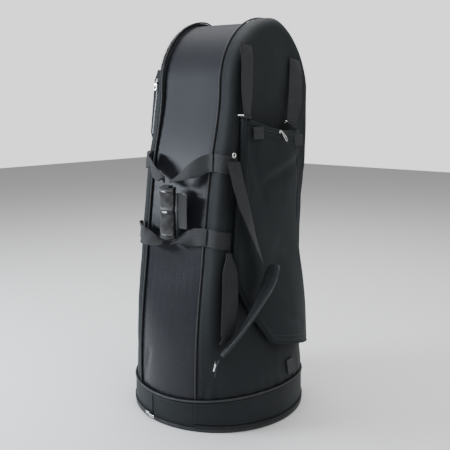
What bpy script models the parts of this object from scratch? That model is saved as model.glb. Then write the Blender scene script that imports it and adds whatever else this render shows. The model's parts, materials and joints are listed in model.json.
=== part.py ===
"""Tall padded carry case: an arched soft body standing on a round drum base.

Frame: the origin is the centre of the drum's underside on the floor, +Z is up,
-Y is the front (pouch and hanging straps) and -X is the satin side with the carry handle.
Every soft panel is a closed solid with the true outer shape of the sewn piece.
"""
from math import asin, atan2, cos, hypot, pi, radians, sin, sqrt

import bmesh
import bpy
from mathutils import Matrix, Vector

# ---------------------------------------------------------------- driving dimensions (metres)
GAP = 0.0004                      # clearance kept between neighbouring pieces
DRUM_R = 0.205                    # outer radius of the drum base
RIM_LOW = 0.067                   # height of the drum's rim on the -X side and the back
RIM_RISE = 0.018                  # how much higher the rim stands at the front
BODY_LOW_R = 0.200                # the body is this round where it meets the rim
FLARE_TOP = 0.38                  # above this height the body has left the drum's round shape

FRONT_Y = 0.130                   # depth of the front face in front of the axis
BACK_Y = 0.105                    # depth of the back face behind the axis, at the crown
BACK_BULGE = 0.008                # how much deeper the back face is below the crown
BAND_HALF = 0.085                 # half width of the satin side band
FRONT_EDGE_R = 0.022              # rounding between the front shell's side strip and its face
BACK_EDGE_R = 0.017

SPRING_Z = 0.750                  # height where the arch springs from the sides
APEX_X = 0.055                    # the case leans, so its crown is off the drum's axis
ARCH_RISE = 0.156
BODY_LOW_Z = 0.0645               # lowest row of the body's panels on the -X side
LEFT_SIDE = ((BODY_LOW_Z, -0.178), (0.32, -0.161), (0.56, -0.131), (SPRING_Z, -0.097))
RIGHT_SIDE = ((BODY_LOW_Z, 0.178), (0.42, 0.171), (0.60, 0.188), (SPRING_Z, 0.186))
RIGHT_SLACK = 1.25                # above 1, the arch's right shoulder hangs inside an ellipse

SHELL_T = 0.004                   # outer fabric with its stiffener
PADDING_T = 0.007                 # foam and lining inside it
SIDE_ROWS = 11
ARCH_ROWS = 12

WEBBING_W = 0.038                 # every strap is the same webbing
WEBBING_T = 0.0024
METAL_WIRE_R = 0.0016

HINGE_AZIMUTH = radians(-82.0)    # middle of the base lid's fabric hinge, measured from -Y
HINGE_HALF = radians(16.0)

# ---------------------------------------------------------------- small maths


def smooth(t):
    """Ease from 0 to 1."""
    t = min(1.0, max(0.0, t))
    return t * t * (3.0 - 2.0 * t)


def mix(a, b, t):
    return a + (b - a) * t


def spline(points, t, end_slope=None):
    """Smooth curve value through a few (t, value) points."""
    for k in range(len(points) - 1):
        if t <= points[k + 1][0] or k == len(points) - 2:
            break

    def slope(i):
        if i == len(points) - 1 and end_slope is not None:
            return end_slope
        low = max(i - 1, 0)
        high = min(i + 1, len(points) - 1)
        return (points[high][1] - points[low][1]) / (points[high][0] - points[low][0])

    t0, v0 = points[k]
    t1, v1 = points[k + 1]
    span = t1 - t0
    u = (t - t0) / span
    return (
        v0 * (2 * u**3 - 3 * u**2 + 1)
        + v1 * (3 * u**2 - 2 * u**3)
        + slope(k) * span * (u**3 - 2 * u**2 + u)
        + slope(k + 1) * span * (u**3 - u**2)
    )


def catmull(points, steps):
    """Smooth run of vectors through control vectors, with steps spans between each pair."""
    pts = [Vector(p) for p in points]
    out = []
    for k in range(len(pts) - 1):
        before = pts[k - 1] if k else 2 * pts[0] - pts[1]
        after = pts[k + 2] if k + 2 < len(pts) else 2 * pts[-1] - pts[-2]
        for i in range(steps):
            u = i / steps
            out.append(0.5 * (
                2 * pts[k] + (pts[k + 1] - before) * u
                + (2 * before - 5 * pts[k] + 4 * pts[k + 1] - after) * u**2
                + (3 * pts[k] - before - 3 * pts[k + 1] + after) * u**3
            ))
    out.append(pts[-1])
    return out


# ---------------------------------------------------------------- building blocks

MATERIALS = {
    "satin_fabric": ((0.045, 0.050, 0.065), 0.38, 0.0),
    "nylon_fabric": ((0.022, 0.026, 0.028), 0.80, 0.0),
    "lining_fabric": ((0.030, 0.030, 0.034), 0.90, 0.0),
    "foam_board": ((0.060, 0.060, 0.060), 0.85, 0.0),
    "webbing": ((0.045, 0.047, 0.050), 0.70, 0.0),
    "piping": ((0.050, 0.052, 0.058), 0.50, 0.0),
    "vinyl": ((0.030, 0.032, 0.038), 0.25, 0.0),
    "zip_coil": ((0.020, 0.020, 0.022), 0.45, 0.0),
    "steel": ((0.780, 0.780, 0.770), 0.18, 1.0),
}


def material(name):
    """One Principled material for each finish."""
    found = bpy.data.materials.get(name)
    if found:
        return found
    colour, rough, metal = MATERIALS[name]
    made = bpy.data.materials.new(name)
    made.use_nodes = True
    shader = made.node_tree.nodes["Principled BSDF"]
    shader.inputs["Base Color"].default_value = (*colour, 1.0)
    shader.inputs["Roughness"].default_value = rough
    shader.inputs["Metallic"].default_value = metal
    return made


def finish_mesh(name, bm, finish):
    """Close a bmesh into a named object, with its faces pointing out."""
    bmesh.ops.remove_doubles(bm, verts=bm.verts, dist=1e-6)
    bmesh.ops.dissolve_degenerate(bm, edges=bm.edges, dist=1e-6)
    bmesh.ops.triangulate(bm, faces=bm.faces)
    bmesh.ops.recalc_face_normals(bm, faces=bm.faces)
    mesh = bpy.data.meshes.new(name)
    bm.to_mesh(mesh)
    bm.free()
    mesh.materials.append(material(finish))
    mesh.shade_smooth()
    mesh.set_sharp_from_angle(angle=radians(40))
    made = bpy.data.objects.new(name, mesh)
    bpy.context.scene.collection.objects.link(made)
    return made


def grid_faces(bm, grid, close_rows=False, close_cols=False, flip=False):
    """Skin a grid of vertices; either direction can wrap round."""
    rows = len(grid)
    cols = len(grid[0])
    for i in range(rows if close_rows else rows - 1):
        for j in range(cols if close_cols else cols - 1):
            a = grid[i][j]
            b = grid[(i + 1) % rows][j]
            c = grid[(i + 1) % rows][(j + 1) % cols]
            d = grid[i][(j + 1) % cols]
            bm.faces.new((a, b, c, d) if not flip else (d, c, b, a))


def wall(bm, outer_edge, inner_edge):
    """Join two matching runs of vertices with a strip."""
    for k in range(len(outer_edge) - 1):
        bm.faces.new((outer_edge[k], outer_edge[k + 1], inner_edge[k + 1], inner_edge[k]))


def shell(name, outer, inner, finish, join_last_col=False):
    """Closed panel between an outer and an inner grid of points.

    join_last_col leaves the last column unwalled, for a panel whose two flanks meet there.
    """
    bm = bmesh.new()
    grids = [[[bm.verts.new(p) for p in row] for row in grid] for grid in (outer, inner)]
    grid_faces(bm, grids[0])
    grid_faces(bm, grids[1], flip=True)
    wall(bm, grids[0][0], grids[1][0])
    wall(bm, grids[0][-1], grids[1][-1])
    wall(bm, [r[0] for r in grids[0]], [r[0] for r in grids[1]])
    if not join_last_col:
        wall(bm, [r[-1] for r in grids[0]], [r[-1] for r in grids[1]])
    return finish_mesh(name, bm, finish)


def swept(name, sections, finish, closed=False):
    """Solid through equal closed sections, capped at both ends or joined in a ring."""
    bm = bmesh.new()
    grid = [[bm.verts.new(p) for p in section] for section in sections]
    grid_faces(bm, grid, close_rows=closed, close_cols=True)
    if not closed:
        bm.faces.new(grid[0])
        bm.faces.new(list(reversed(grid[-1])))
    return finish_mesh(name, bm, finish)


def ring(name, profile, finish, start=0.0, turn=2 * pi, steps=48, lift=None):
    """Turn an (r, z) profile about the drum's axis; lift(azimuth) raises it round the ring."""
    full = abs(turn - 2 * pi) < 1e-6
    sections = []
    for k in range(steps if full else steps + 1):
        azimuth = start + turn * k / steps
        rise = lift(azimuth) if lift else None
        sections.append([
            (r * sin(azimuth), -r * cos(azimuth), z(rise) if callable(z) else z)
            for r, z in profile
        ])
    return swept(name, sections, finish, closed=full)


def strap(name, centres, across, finish="webbing", width=WEBBING_W, thickness=WEBBING_T, steps=4):
    """Flat strap through centre points, whose width lies along the matching across vectors."""
    path = catmull(centres, steps)
    sides = [v.normalized() for v in catmull(across, steps)]
    sections = []
    for k, point in enumerate(path):
        ahead = (path[min(k + 1, len(path) - 1)] - path[max(k - 1, 0)]).normalized()
        side = (sides[k] - ahead * sides[k].dot(ahead)).normalized()
        out = ahead.cross(side)
        half = side * (width(k / (len(path) - 1)) if callable(width) else width) / 2
        thick = out * thickness / 2
        sections.append([point - half - thick, point + half - thick, point + half + thick, point - half + thick])
    return swept(name, sections, finish)


def tube(name, path, radius, finish, normal, sides=6, closed=False):
    """Round rod along a path that lies nearly in the plane with this normal."""
    pts = [Vector(p) for p in path]
    count = len(pts)
    sections = []
    for k, point in enumerate(pts):
        if closed:
            ahead = (pts[(k + 1) % count] - pts[k - 1]).normalized()
        else:
            ahead = (pts[min(k + 1, count - 1)] - pts[max(k - 1, 0)]).normalized()
        side = Vector(normal).cross(ahead).normalized()
        over = ahead.cross(side)
        sections.append([
            point + radius * (cos(2 * pi * i / sides) * side + sin(2 * pi * i / sides) * over)
            for i in range(sides)
        ])
    return swept(name, sections, finish, closed=closed)


def block(name, low, high, finish, bevel=0.0):
    """Box between two corners, with its edges rounded by a Bevel modifier."""
    bm = bmesh.new()
    bmesh.ops.create_cube(bm, size=1.0)
    for v in bm.verts:
        v.co = Vector(((low[i] + high[i]) / 2 + v.co[i] * (high[i] - low[i]) for i in range(3)))
    made = finish_mesh(name, bm, finish)
    if bevel:
        rounding = made.modifiers.new("rounding", "BEVEL")
        rounding.width = bevel
        rounding.segments = 1
    return made


def set_pivot(made, pivot):
    """Move an object's origin onto its joint's axis without moving its shape."""
    shift = Vector(pivot)
    made.data.transform(Matrix.Translation(-shift))
    made.location = shift
    return made


# ---------------------------------------------------------------- the arched body's surface


def rim_height(azimuth):
    """Height of the drum's rim; azimuth is measured from the front, -Y."""
    return RIM_LOW + RIM_RISE * max(0.0, cos(azimuth)) ** 2


def flare(z):
    """1 where the section is the drum's circle, 0 where it is the arch's rounded rectangle."""
    return 1.0 - smooth((z - 0.07) / (FLARE_TOP - 0.07))


def band_recess(z):
    """The satin band lies a little below the shells' edges, most on the crown."""
    return 0.002 + 0.006 * smooth((z - 0.55) / 0.3)


def row_outline(row, inset, y):
    """Point (x, z) of the side outline on one row, and which side it is on."""
    if row <= SIDE_ROWS or row >= SIDE_ROWS + ARCH_ROWS:
        left = row <= SIDE_ROWS
        k = row if left else 2 * SIDE_ROWS + ARCH_ROWS - row
        z = BODY_LOW_Z + (SPRING_Z - BODY_LOW_Z) * k / SIDE_ROWS
        if left:
            return spline(LEFT_SIDE, z, 0.0) + inset, z, -1.0
        return spline(RIGHT_SIDE, z, 0.0) - inset, z, 1.0
    turn = pi * (row - SIDE_ROWS) / ARCH_ROWS
    rise = ARCH_RISE - 0.003 + 0.02 * y - inset
    if turn < pi / 2:
        return APEX_X - (APEX_X - LEFT_SIDE[-1][1] - inset) * cos(turn), SPRING_Z + rise * sin(turn), -1.0
    reach = RIGHT_SIDE[-1][1] - APEX_X - inset
    return APEX_X + reach * abs(cos(turn)) ** RIGHT_SLACK, SPRING_Z + rise * sin(turn) ** RIGHT_SLACK, 1.0


def spine(z):
    """Middle line of the front and back faces, leaning with the case."""
    return APEX_X * smooth((z - 0.10) / (SPRING_Z - 0.10)), min(z, SPRING_Z)


def settle(x, y, z):
    """Drop the lowest rows onto the drum's rim."""
    rise = rim_height(atan2(x, -y)) - RIM_LOW
    return x, y, z + rise * (1.0 - smooth((z - BODY_LOW_Z) / 0.14))


def side_point(row, y, inset):
    """Point on the side of the body, at depth y."""
    x, z, hand = row_outline(row, inset, y)
    w = flare(z) if z < SPRING_Z else 0.0
    round_x = hand * sqrt((BODY_LOW_R - inset) ** 2 - y * y)
    return settle((1 - w) * x + w * round_x, y, z)


def edge_size(face, z):
    """Depth of a face and the radius of its rounded edge, at height z; face is -1 front, +1 back."""
    if face < 0:
        return FRONT_Y, FRONT_EDGE_R
    return BACK_Y + BACK_BULGE * smooth((0.80 - z) / 0.20), BACK_EDGE_R


def edge_point(row, face, turn, inset):
    """Point on the rounding between side and face; turn runs 0 to 1."""
    depth, radius = edge_size(face, row_outline(row, 0.0, 0.0)[1])
    angle = turn * pi / 2
    y = face * (depth - radius + (radius - inset) * sin(angle))
    x, z, hand = row_outline(row, radius - (radius - inset) * cos(angle), y)
    w = flare(z) if z < SPRING_Z else 0.0
    low_r = BODY_LOW_R - inset
    x_face = row_outline(row, radius, y)[0]
    start = asin((depth - radius) / low_r)
    end = pi / 2 - asin(min(1.0, abs(x_face) / low_r))
    spread = start + (end - start) * turn
    return settle(
        (1 - w) * x + w * hand * low_r * cos(spread),
        (1 - w) * y + w * face * low_r * sin(spread),
        z,
    )


def face_depth(x, z, face, inset):
    """Depth of the front or back face at (x, z)."""
    depth = edge_size(face, z)[0] - inset
    w = flare(z)
    return face * ((1 - w) * depth + w * sqrt(max((BODY_LOW_R - inset) ** 2 - x * x, 0.0)))


def face_point(row, face, across, inset):
    """Point on the front or back face; across is 0 at its rounded edge and 1 on the spine."""
    radius = edge_size(face, 0.0)[1]
    x0, z0, _ = row_outline(row, radius, face * FRONT_Y)
    x1, z1 = spine(z0)
    x = x0 + (x1 - x0) * across
    z = z0 + (z1 - z0) * across
    return settle(x, face_depth(x, z, face, inset), z)


def body_rib(row, piece, inset):
    """Points of one piece's section on one row, from its outer seam inwards."""
    if piece == "band":
        x, z, _ = row_outline(row, 0.0, 0.0)
        edge = BAND_HALF - GAP
        return [side_point(row, edge * f, inset + band_recess(z)) for f in (1.0, 0.5, 0.0, -0.5, -1.0)]
    face = -1.0 if piece == "front" else 1.0
    depth, radius = edge_size(face, row_outline(row, 0.0, 0.0)[1])
    rib = [side_point(row, face * (BAND_HALF + GAP), inset)]
    if face < 0:
        rib.append(side_point(row, face * (BAND_HALF + depth - radius) / 2, inset))
    rib += [edge_point(row, face, k / 3, inset) for k in range(4)]
    rib += [face_point(row, face, k / 3, inset) for k in (1, 2, 3)]
    return rib


def body_panel(name, piece, inset, thickness, finish):
    """One panel of the arched body, from the rim on the left over the crown to the right."""
    rows = range(2 * SIDE_ROWS + ARCH_ROWS + 1)
    outer = [body_rib(row, piece, inset) for row in rows]
    inner = [body_rib(row, piece, inset + thickness) for row in rows]
    return shell(name, outer, inner, finish, join_last_col=piece != "band")


def seam_piping(name, y):
    """Round piping sewn into the seam between the band and a shell."""
    radius = 0.0021
    inset = -(radius + GAP)
    rows = range(2 * SIDE_ROWS + ARCH_ROWS + 1)
    path = [side_point(row, y, inset) for row in rows]
    path[0] = (*path[0][:2], path[0][2] + 0.006)
    path[-1] = (*path[-1][:2], path[-1][2] + 0.006)
    return tube(name, path, radius, "piping", normal=(0, 1, 0))


def make_body():
    for piece, finish in (("band", "satin_fabric"), ("front", "nylon_fabric"), ("back", "nylon_fabric")):
        label = {"band": "side_band", "front": "front_shell", "back": "back_shell"}[piece]
        body_panel(label, piece, 0.0, SHELL_T, finish)
        body_panel(label + "_padding", piece, SHELL_T + GAP, PADDING_T, "lining_fabric")
    seam_piping("front_seam_piping", -BAND_HALF)
    seam_piping("back_seam_piping", BAND_HALF)


# ---------------------------------------------------------------- drum base and its zipped lid


def make_drum():
    wall_in = DRUM_R - 0.0085
    wall_low = 0.0092
    drum_profile = [
        (wall_in, wall_low),
        (DRUM_R - 0.0008, wall_low),
        (DRUM_R, wall_low + 0.001),
        (DRUM_R, lambda top: top - 0.0050),
        (DRUM_R - 0.0012, lambda top: top - 0.0038),
        (wall_in, lambda top: top - 0.0038),
    ]
    seam = radians(0.15)
    hinge_start = HINGE_AZIMUTH - HINGE_HALF
    ring("drum_wall", drum_profile, "nylon_fabric", HINGE_AZIMUTH + HINGE_HALF + seam,
         2 * pi - 2 * HINGE_HALF - 2 * seam, steps=44, lift=rim_height)
    panel_profile = [(r - 0.0015 if r > DRUM_R - 0.002 else r, z) for r, z in drum_profile]
    ring("lid_hinge_panel", panel_profile, "nylon_fabric", hinge_start, 2 * HINGE_HALF,
         steps=6, lift=rim_height)

    cord_r = 0.0024
    path = []
    for k in range(48):
        azimuth = 2 * pi * k / 48
        radius = DRUM_R - 0.0016
        path.append((radius * sin(azimuth), -radius * cos(azimuth), rim_height(azimuth) - 0.0003))
    tube("rim_piping", path, cord_r, "piping", normal=(0, 0, 1), closed=True)

    ring("base_binding", [
        (DRUM_R - 0.0085, 0.0), (DRUM_R - 0.0005, 0.0), (DRUM_R + 0.001, 0.0015),
        (DRUM_R + 0.001, 0.0075), (DRUM_R - 0.0005, 0.0088), (DRUM_R - 0.0085, 0.0088),
    ], "piping", steps=48)

    chain_in = DRUM_R + GAP
    chain_start = HINGE_AZIMUTH + HINGE_HALF + radians(1)
    ring("base_zip_chain", [
        (chain_in, 0.0102), (chain_in + 0.0014, 0.0102), (chain_in + 0.0014, 0.0152), (chain_in, 0.0152),
    ], "zip_coil", chain_start, 2 * pi - 2 * HINGE_HALF - radians(2), steps=48)


def disc(name, radius, low, high, finish, steps=40, edge=0.001):
    """Round board with a softened edge."""
    bm = bmesh.new()
    levels = ((radius - edge, low), (radius, low + edge), (radius, high - edge), (radius - edge, high))
    rows = [
        [bm.verts.new((r * sin(2 * pi * k / steps), -r * cos(2 * pi * k / steps), z)) for k in range(steps)]
        for r, z in levels
    ]
    grid_faces(bm, rows, close_cols=True)
    bm.faces.new(rows[0])
    bm.faces.new(list(reversed(rows[-1])))
    return finish_mesh(name, bm, finish)


def lid_pivot():
    """Point on the base lid's hinge line."""
    radius = DRUM_R - 0.0088
    return radius * sin(HINGE_AZIMUTH), -radius * cos(HINGE_AZIMUTH), 0.0


def make_base_lid():
    pieces = (
        disc("base_lid", DRUM_R - 0.0095, 0.0, 0.0060, "nylon_fabric"),
        disc("base_lid_board", 0.186, 0.0060 + GAP, 0.0090, "foam_board"),
        disc("base_lid_padding", 0.184, 0.0090 + GAP, 0.0150, "lining_fabric"),
    )
    for piece in pieces:
        set_pivot(piece, lid_pivot())


# ---------------------------------------------------------------- zip sliders and pulls


def zip_slider(name, centre, along, out, size=(0.013, 0.0075, 0.004)):
    """Small metal slider body: long along the chain, standing out from it."""
    along = Vector(along).normalized()
    out = Vector(out).normalized()
    across = out.cross(along)
    centre = Vector(centre)
    sections = []
    for end, narrow in ((-0.5, 0.75), (0.1, 1.0), (0.5, 0.8)):
        middle = centre + along * size[0] * end
        half = across * size[1] / 2 * narrow
        sections.append([middle - half, middle + half, middle + half + out * size[2], middle - half + out * size[2]])
    return swept(name, sections, "steel")


def zip_pull(name, pivot, down, out, length=0.029, width=0.0085, thickness=0.0016):
    """Flat pull tab with a hole near its free end, hanging from its pivot."""
    down = Vector(down).normalized()
    out = Vector(out).normalized()
    across = out.cross(down).normalized()
    out = down.cross(across)
    pivot = Vector(pivot)
    steps = 12
    bm = bmesh.new()
    loops = []
    hole_at = length * 0.70
    for level in (-0.5, 0.5):
        outer = []
        inner = []
        for k in range(steps):
            angle = 2 * pi * k / steps
            reach = down * (length / 2 + cos(angle) * length / 2)
            taper = 0.62 + 0.38 * (0.5 + 0.5 * cos(angle))
            side = across * sin(angle) * width / 2 * taper * 1.15
            outer.append(bm.verts.new(pivot + reach + side + out * thickness * level))
            hole = down * (hole_at + cos(angle) * 0.004) + across * sin(angle) * 0.0021
            inner.append(bm.verts.new(pivot + hole + out * thickness * level))
        loops.append((outer, inner))
    (low_out, low_in), (high_out, high_in) = loops
    for first, second in ((low_out, low_in), (high_in, high_out), (high_out, low_out), (low_in, high_in)):
        for k in range(steps):
            n = (k + 1) % steps
            bm.faces.new((first[k], first[n], second[n], second[k]))
    return set_pivot(finish_mesh(name, bm, "steel"), pivot)


SLIDER_AZIMUTH = HINGE_AZIMUTH - HINGE_HALF - radians(4)      # base slider, closed, behind the hinge panel


def make_base_zip():
    out = Vector((sin(SLIDER_AZIMUTH), -cos(SLIDER_AZIMUTH), 0.0))
    along = Vector((cos(SLIDER_AZIMUTH), sin(SLIDER_AZIMUTH), 0.0))
    centre = out * (DRUM_R + GAP + 0.0014 + GAP) + Vector((0, 0, 0.0175))
    slider = zip_slider("base_zip_slider", centre - Vector((0, 0, 0.0048)), along, out, (0.013, 0.007, 0.0035))
    set_pivot(slider, (0.0, 0.0, 0.0127))
    pivot = out * (DRUM_R + 0.0066) + along * 0.005 + Vector((0, 0, 0.0127))
    zip_pull("base_zip_pull", pivot, along, out, length=0.026, width=0.0075)


# ---------------------------------------------------------------- front pouch

POUCH_LEFT = ((0.170, -0.040), (0.260, -0.086), (0.335, -0.110), (0.420, -0.108), (0.560, -0.092), (0.690, -0.083))
POUCH_RIGHT = ((0.170, 0.126), (0.260, 0.138), (0.335, 0.136), (0.420, 0.124), (0.560, 0.118), (0.690, 0.112))
POUCH_LOW = (0.190, 0.150)        # height of the bottom's left and right ends
POUCH_DEPTH = 0.034
POUCH_WALL = 0.003
MOUTH_LOW = (0.060, 0.653)        # the mouth sags along an arc through this lowest point
MOUTH_R = 0.36
FLAP_X = (-0.040, 0.036)          # the mouth's flap lies between the two strap rings


def mouth_z(x):
    """Height of the pouch's top edge at x."""
    return MOUTH_LOW[1] + MOUTH_R - sqrt(MOUTH_R**2 - (x - MOUTH_LOW[0]) ** 2)


def pouch_seat(x, z):
    """Depth of the pouch's back, just clear of the front face."""
    w = flare(z)
    return face_depth(x, z, -1.0, 0.0) - GAP - 0.0006 - 0.022 * w * (1 - w)


def pouch_grid(depth, shrink, rows=9, cols=8):
    """Grid of points over the pouch's outline at one depth in front of the front face."""
    grid = []
    for i in range(rows + 1):
        v = i / rows
        line = []
        for j in range(cols + 1):
            u = j / cols
            low = POUCH_LOW[0] + (POUCH_LOW[1] - POUCH_LOW[0]) * u + shrink
            nominal = 0.170 + (0.690 - 0.170) * v
            left = spline(POUCH_LEFT, nominal) + shrink
            right = spline(POUCH_RIGHT, nominal) - shrink
            x = left + (right - left) * u
            z = low + (mouth_z(x) - low) * v
            puff = sqrt(sin(pi * u) * sin(pi / 2 * min(0.15 + v * 1.4, 1.0)))
            line.append((x, pouch_seat(x, z) - depth * (0.45 + 0.55 * puff), z))
        grid.append(line)
    return grid


def make_pouch():
    """The pouch is a thin-walled bag, open along its sagging mouth."""
    bm = bmesh.new()
    outer = [
        [[bm.verts.new(p) for p in line] for line in pouch_grid(depth, 0.0)]
        for depth in (0.0, POUCH_DEPTH)
    ]
    inner_back = pouch_grid(0.0, POUCH_WALL)
    inner_back = [[(x, y - POUCH_WALL, z) for x, y, z in line] for line in inner_back]
    inner_front = pouch_grid(POUCH_DEPTH, POUCH_WALL)
    inner_front = [[(x, y + POUCH_WALL, z) for x, y, z in line] for line in inner_front]
    inner = [[[bm.verts.new(p) for p in line] for line in grid] for grid in (inner_back, inner_front)]
    for back, front in (outer, inner):
        grid_faces(bm, back)
        grid_faces(bm, front)
        wall(bm, back[0], front[0])
        wall(bm, [r[0] for r in back], [r[0] for r in front])
        wall(bm, [r[-1] for r in back], [r[-1] for r in front])
    for k in range(2):
        wall(bm, outer[k][-1], inner[k][-1])
    for end in (0, -1):
        bm.faces.new((outer[0][-1][end], outer[1][-1][end], inner[1][-1][end], inner[0][-1][end]))
    return finish_mesh("pouch_body", bm, "nylon_fabric")


def pouch_front_y(x):
    """Depth of the pouch's front at its top edge."""
    u = (x - POUCH_LEFT[-1][1]) / (POUCH_RIGHT[-1][1] - POUCH_LEFT[-1][1])
    return pouch_seat(x, mouth_z(x)) - POUCH_DEPTH * (0.45 + 0.55 * sqrt(sin(pi * u)))


FLAP_PIVOT_Y = -FRONT_Y - 0.0024


def make_pouch_flap():
    """Zipped flap over the mouth, sewn to the case along its back edge."""
    steps = 8
    sections = []
    for k in range(steps + 1):
        x = FLAP_X[0] + (FLAP_X[1] - FLAP_X[0]) * k / steps
        low = mouth_z(x) + 0.0006
        front = pouch_front_y(x) + 0.001
        sections.append([
            (x, FLAP_PIVOT_Y, low), (x, front, low), (x, front, low + 0.002), (x, FLAP_PIVOT_Y, low + 0.002),
        ])
    flap = swept("pouch_mouth_flap", sections, "nylon_fabric")
    set_pivot(flap, (FLAP_X[0], FLAP_PIVOT_Y, mouth_z(FLAP_X[0]) + 0.0026))


def make_pouch_zip():
    """Slider on the front of the mouth's edge, with the long pull lying over the hem."""
    x = 0.012
    z = mouth_z(x) - 0.003
    y = pouch_front_y(x) - 0.0014
    centre_z = MOUTH_LOW[1] + MOUTH_R
    along = Vector((centre_z - z, 0.0, x - MOUTH_LOW[0])).normalized()
    slider = zip_slider("pouch_zip_slider", (x, y, z), along, (0, -1, 0), (0.013, 0.008, 0.004))
    set_pivot(slider, (MOUTH_LOW[0], y, centre_z))
    zip_pull("pouch_zip_pull", (x, y - 0.0058, z), (0.70, 0, -0.71), (0, -1, 0))


def make_pouch_tabs():
    """Short webbing tabs on the pouch's top corners, below the strap rings."""
    for hand, x in (("left", -0.062), ("right", 0.090)):
        z = mouth_z(x)
        y = min(pouch_front_y(x - 0.017), pouch_front_y(x + 0.017)) - 0.0022
        strap(f"pouch_tab_{hand}", ((x, y, z - 0.009), (x, y - 0.0004, z - 0.022), (x, y - 0.0008, z - 0.035)),
              ((1, 0, 0),) * 3, width=0.034, steps=2)


# ---------------------------------------------------------------- hanging straps on the front

STRAP_LEFT = ((-0.070, -0.1340, 0.834), (-0.072, -0.1390, 0.800), (-0.080, -0.1450, 0.746), (-0.088, -0.1520, 0.690))
STRAP_RIGHT = ((0.112, -0.1340, 0.814), (0.106, -0.1420, 0.780), (0.088, -0.1530, 0.722), (0.068, -0.1585, 0.672))
LEFT_ACROSS = ((1, 0, 0), (1, 0, 0), (1, 0.05, 0), (1, 0.12, 0))
RIGHT_ACROSS = ((1, 0, 0), (1, -0.2, 0), (0.96, -0.28, 0), (0.98, -0.2, 0))
STRAP_END_W = {"left": 0.025, "right": 0.030}     # each strap is gathered into its ring
RING_W = 0.033


def rect_ring(name, top_middle, across, down, width, height=0.013, wire=METAL_WIRE_R):
    """Rectangular wire ring hanging from its top bar."""
    across = Vector(across).normalized()
    down = Vector(down).normalized()
    top = Vector(top_middle)
    corner = 0.003
    path = []
    for sx, sy in ((1, 0), (1, 1), (-1, 1), (-1, 0)):
        middle = top + across * sx * (width / 2 - corner) + down * (height * sy + (corner if sy == 0 else -corner))
        start = {(1, 0): -90, (1, 1): 0, (-1, 1): 90, (-1, 0): 180}[(sx, sy)]
        for k in range(3):
            angle = radians(start + 45 * k)
            path.append(middle + across * corner * cos(angle) + down * corner * sin(angle))
    made = tube(name, path, wire, "steel", normal=across.cross(down), closed=True)
    return set_pivot(made, top_middle)


def make_front_straps():
    """Webbing straps that hang from the crown, each ending in a ring that lies back over the pouch's top."""
    for hand, route, across in (("left", STRAP_LEFT, LEFT_ACROSS), ("right", STRAP_RIGHT, RIGHT_ACROSS)):
        def gathered(share, end_width=STRAP_END_W[hand]):
            return WEBBING_W + (end_width - WEBBING_W) * smooth((share - 0.72) / 0.28)

        made = strap(f"front_strap_{hand}", route, across, width=gathered, steps=3)
        set_pivot(made, route[0])
        end = Vector(route[-1])
        down = (end - Vector(route[-2])).normalized()
        side = Vector(across[-1])
        side = (side - down * side.dot(down)).normalized()
        lay = Vector((-side.y, side.x, 0.0)).normalized()
        rect_ring(f"strap_ring_{hand}", end + down * (METAL_WIRE_R + 3 * GAP), side, lay, width=RING_W)


# ---------------------------------------------------------------- pocket on the back

POCKET_LOW = 0.612                # height of the pocket's bottom and top edges
POCKET_HIGH = 0.792
POCKET_LEFT_X = (-0.101, -0.074)  # its zipped side, at the bottom and at the top
POCKET_RIGHT_X = (0.148, 0.150)
POCKET_DEPTH = (0.014, 0.027)
POCKET_WALL = 0.0025
SLIT_Z = (0.644, 0.770)
SLIT_HALF = 0.0026                # half width of the zip opening


def pocket_mix(pair, z):
    """Value at height z between a bottom and a top value."""
    return pair[0] + (pair[1] - pair[0]) * (z - POCKET_LOW) / (POCKET_HIGH - POCKET_LOW)


def pocket_seat(z):
    """Depth of the pocket's back, just clear of the back face."""
    return edge_size(1.0, z)[0] + GAP


def slit_point(z):
    """Middle of the zip opening on the pocket's -X side."""
    return Vector((pocket_mix(POCKET_LEFT_X, z), pocket_seat(z) + 0.46 * pocket_mix(POCKET_DEPTH, z), z))


def pocket_ribs(shrink):
    """Sections of the pocket from its bottom to its top; the last two points bound the zip opening."""
    ribs = []
    for z in (POCKET_LOW + shrink, 0.628, SLIT_Z[0], 0.676, 0.707, 0.738, SLIT_Z[1], POCKET_HIGH - shrink):
        corner = 0.016 * (1 - smooth((z - POCKET_LOW) / 0.04)) + 0.008 * smooth((z - 0.765) / 0.027)
        x0 = pocket_mix(POCKET_LEFT_X, z) + corner + shrink
        x1 = pocket_mix(POCKET_RIGHT_X, z) - corner - shrink
        y0 = pocket_seat(z) + shrink
        y1 = pocket_seat(z) + pocket_mix(POCKET_DEPTH, z) - shrink
        fold = 0.003 - 0.7 * shrink
        middle = slit_point(z).y
        ribs.append([
            (x0, y0, z), (x1, y0, z), (x1, y1 - fold, z), (x1 - 0.005, y1, z), (x0 + 0.004, y1, z),
            (x0, y1 - fold, z), (x0, middle + SLIT_HALF, z), (x0, middle - SLIT_HALF, z),
        ])
    return ribs


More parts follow.
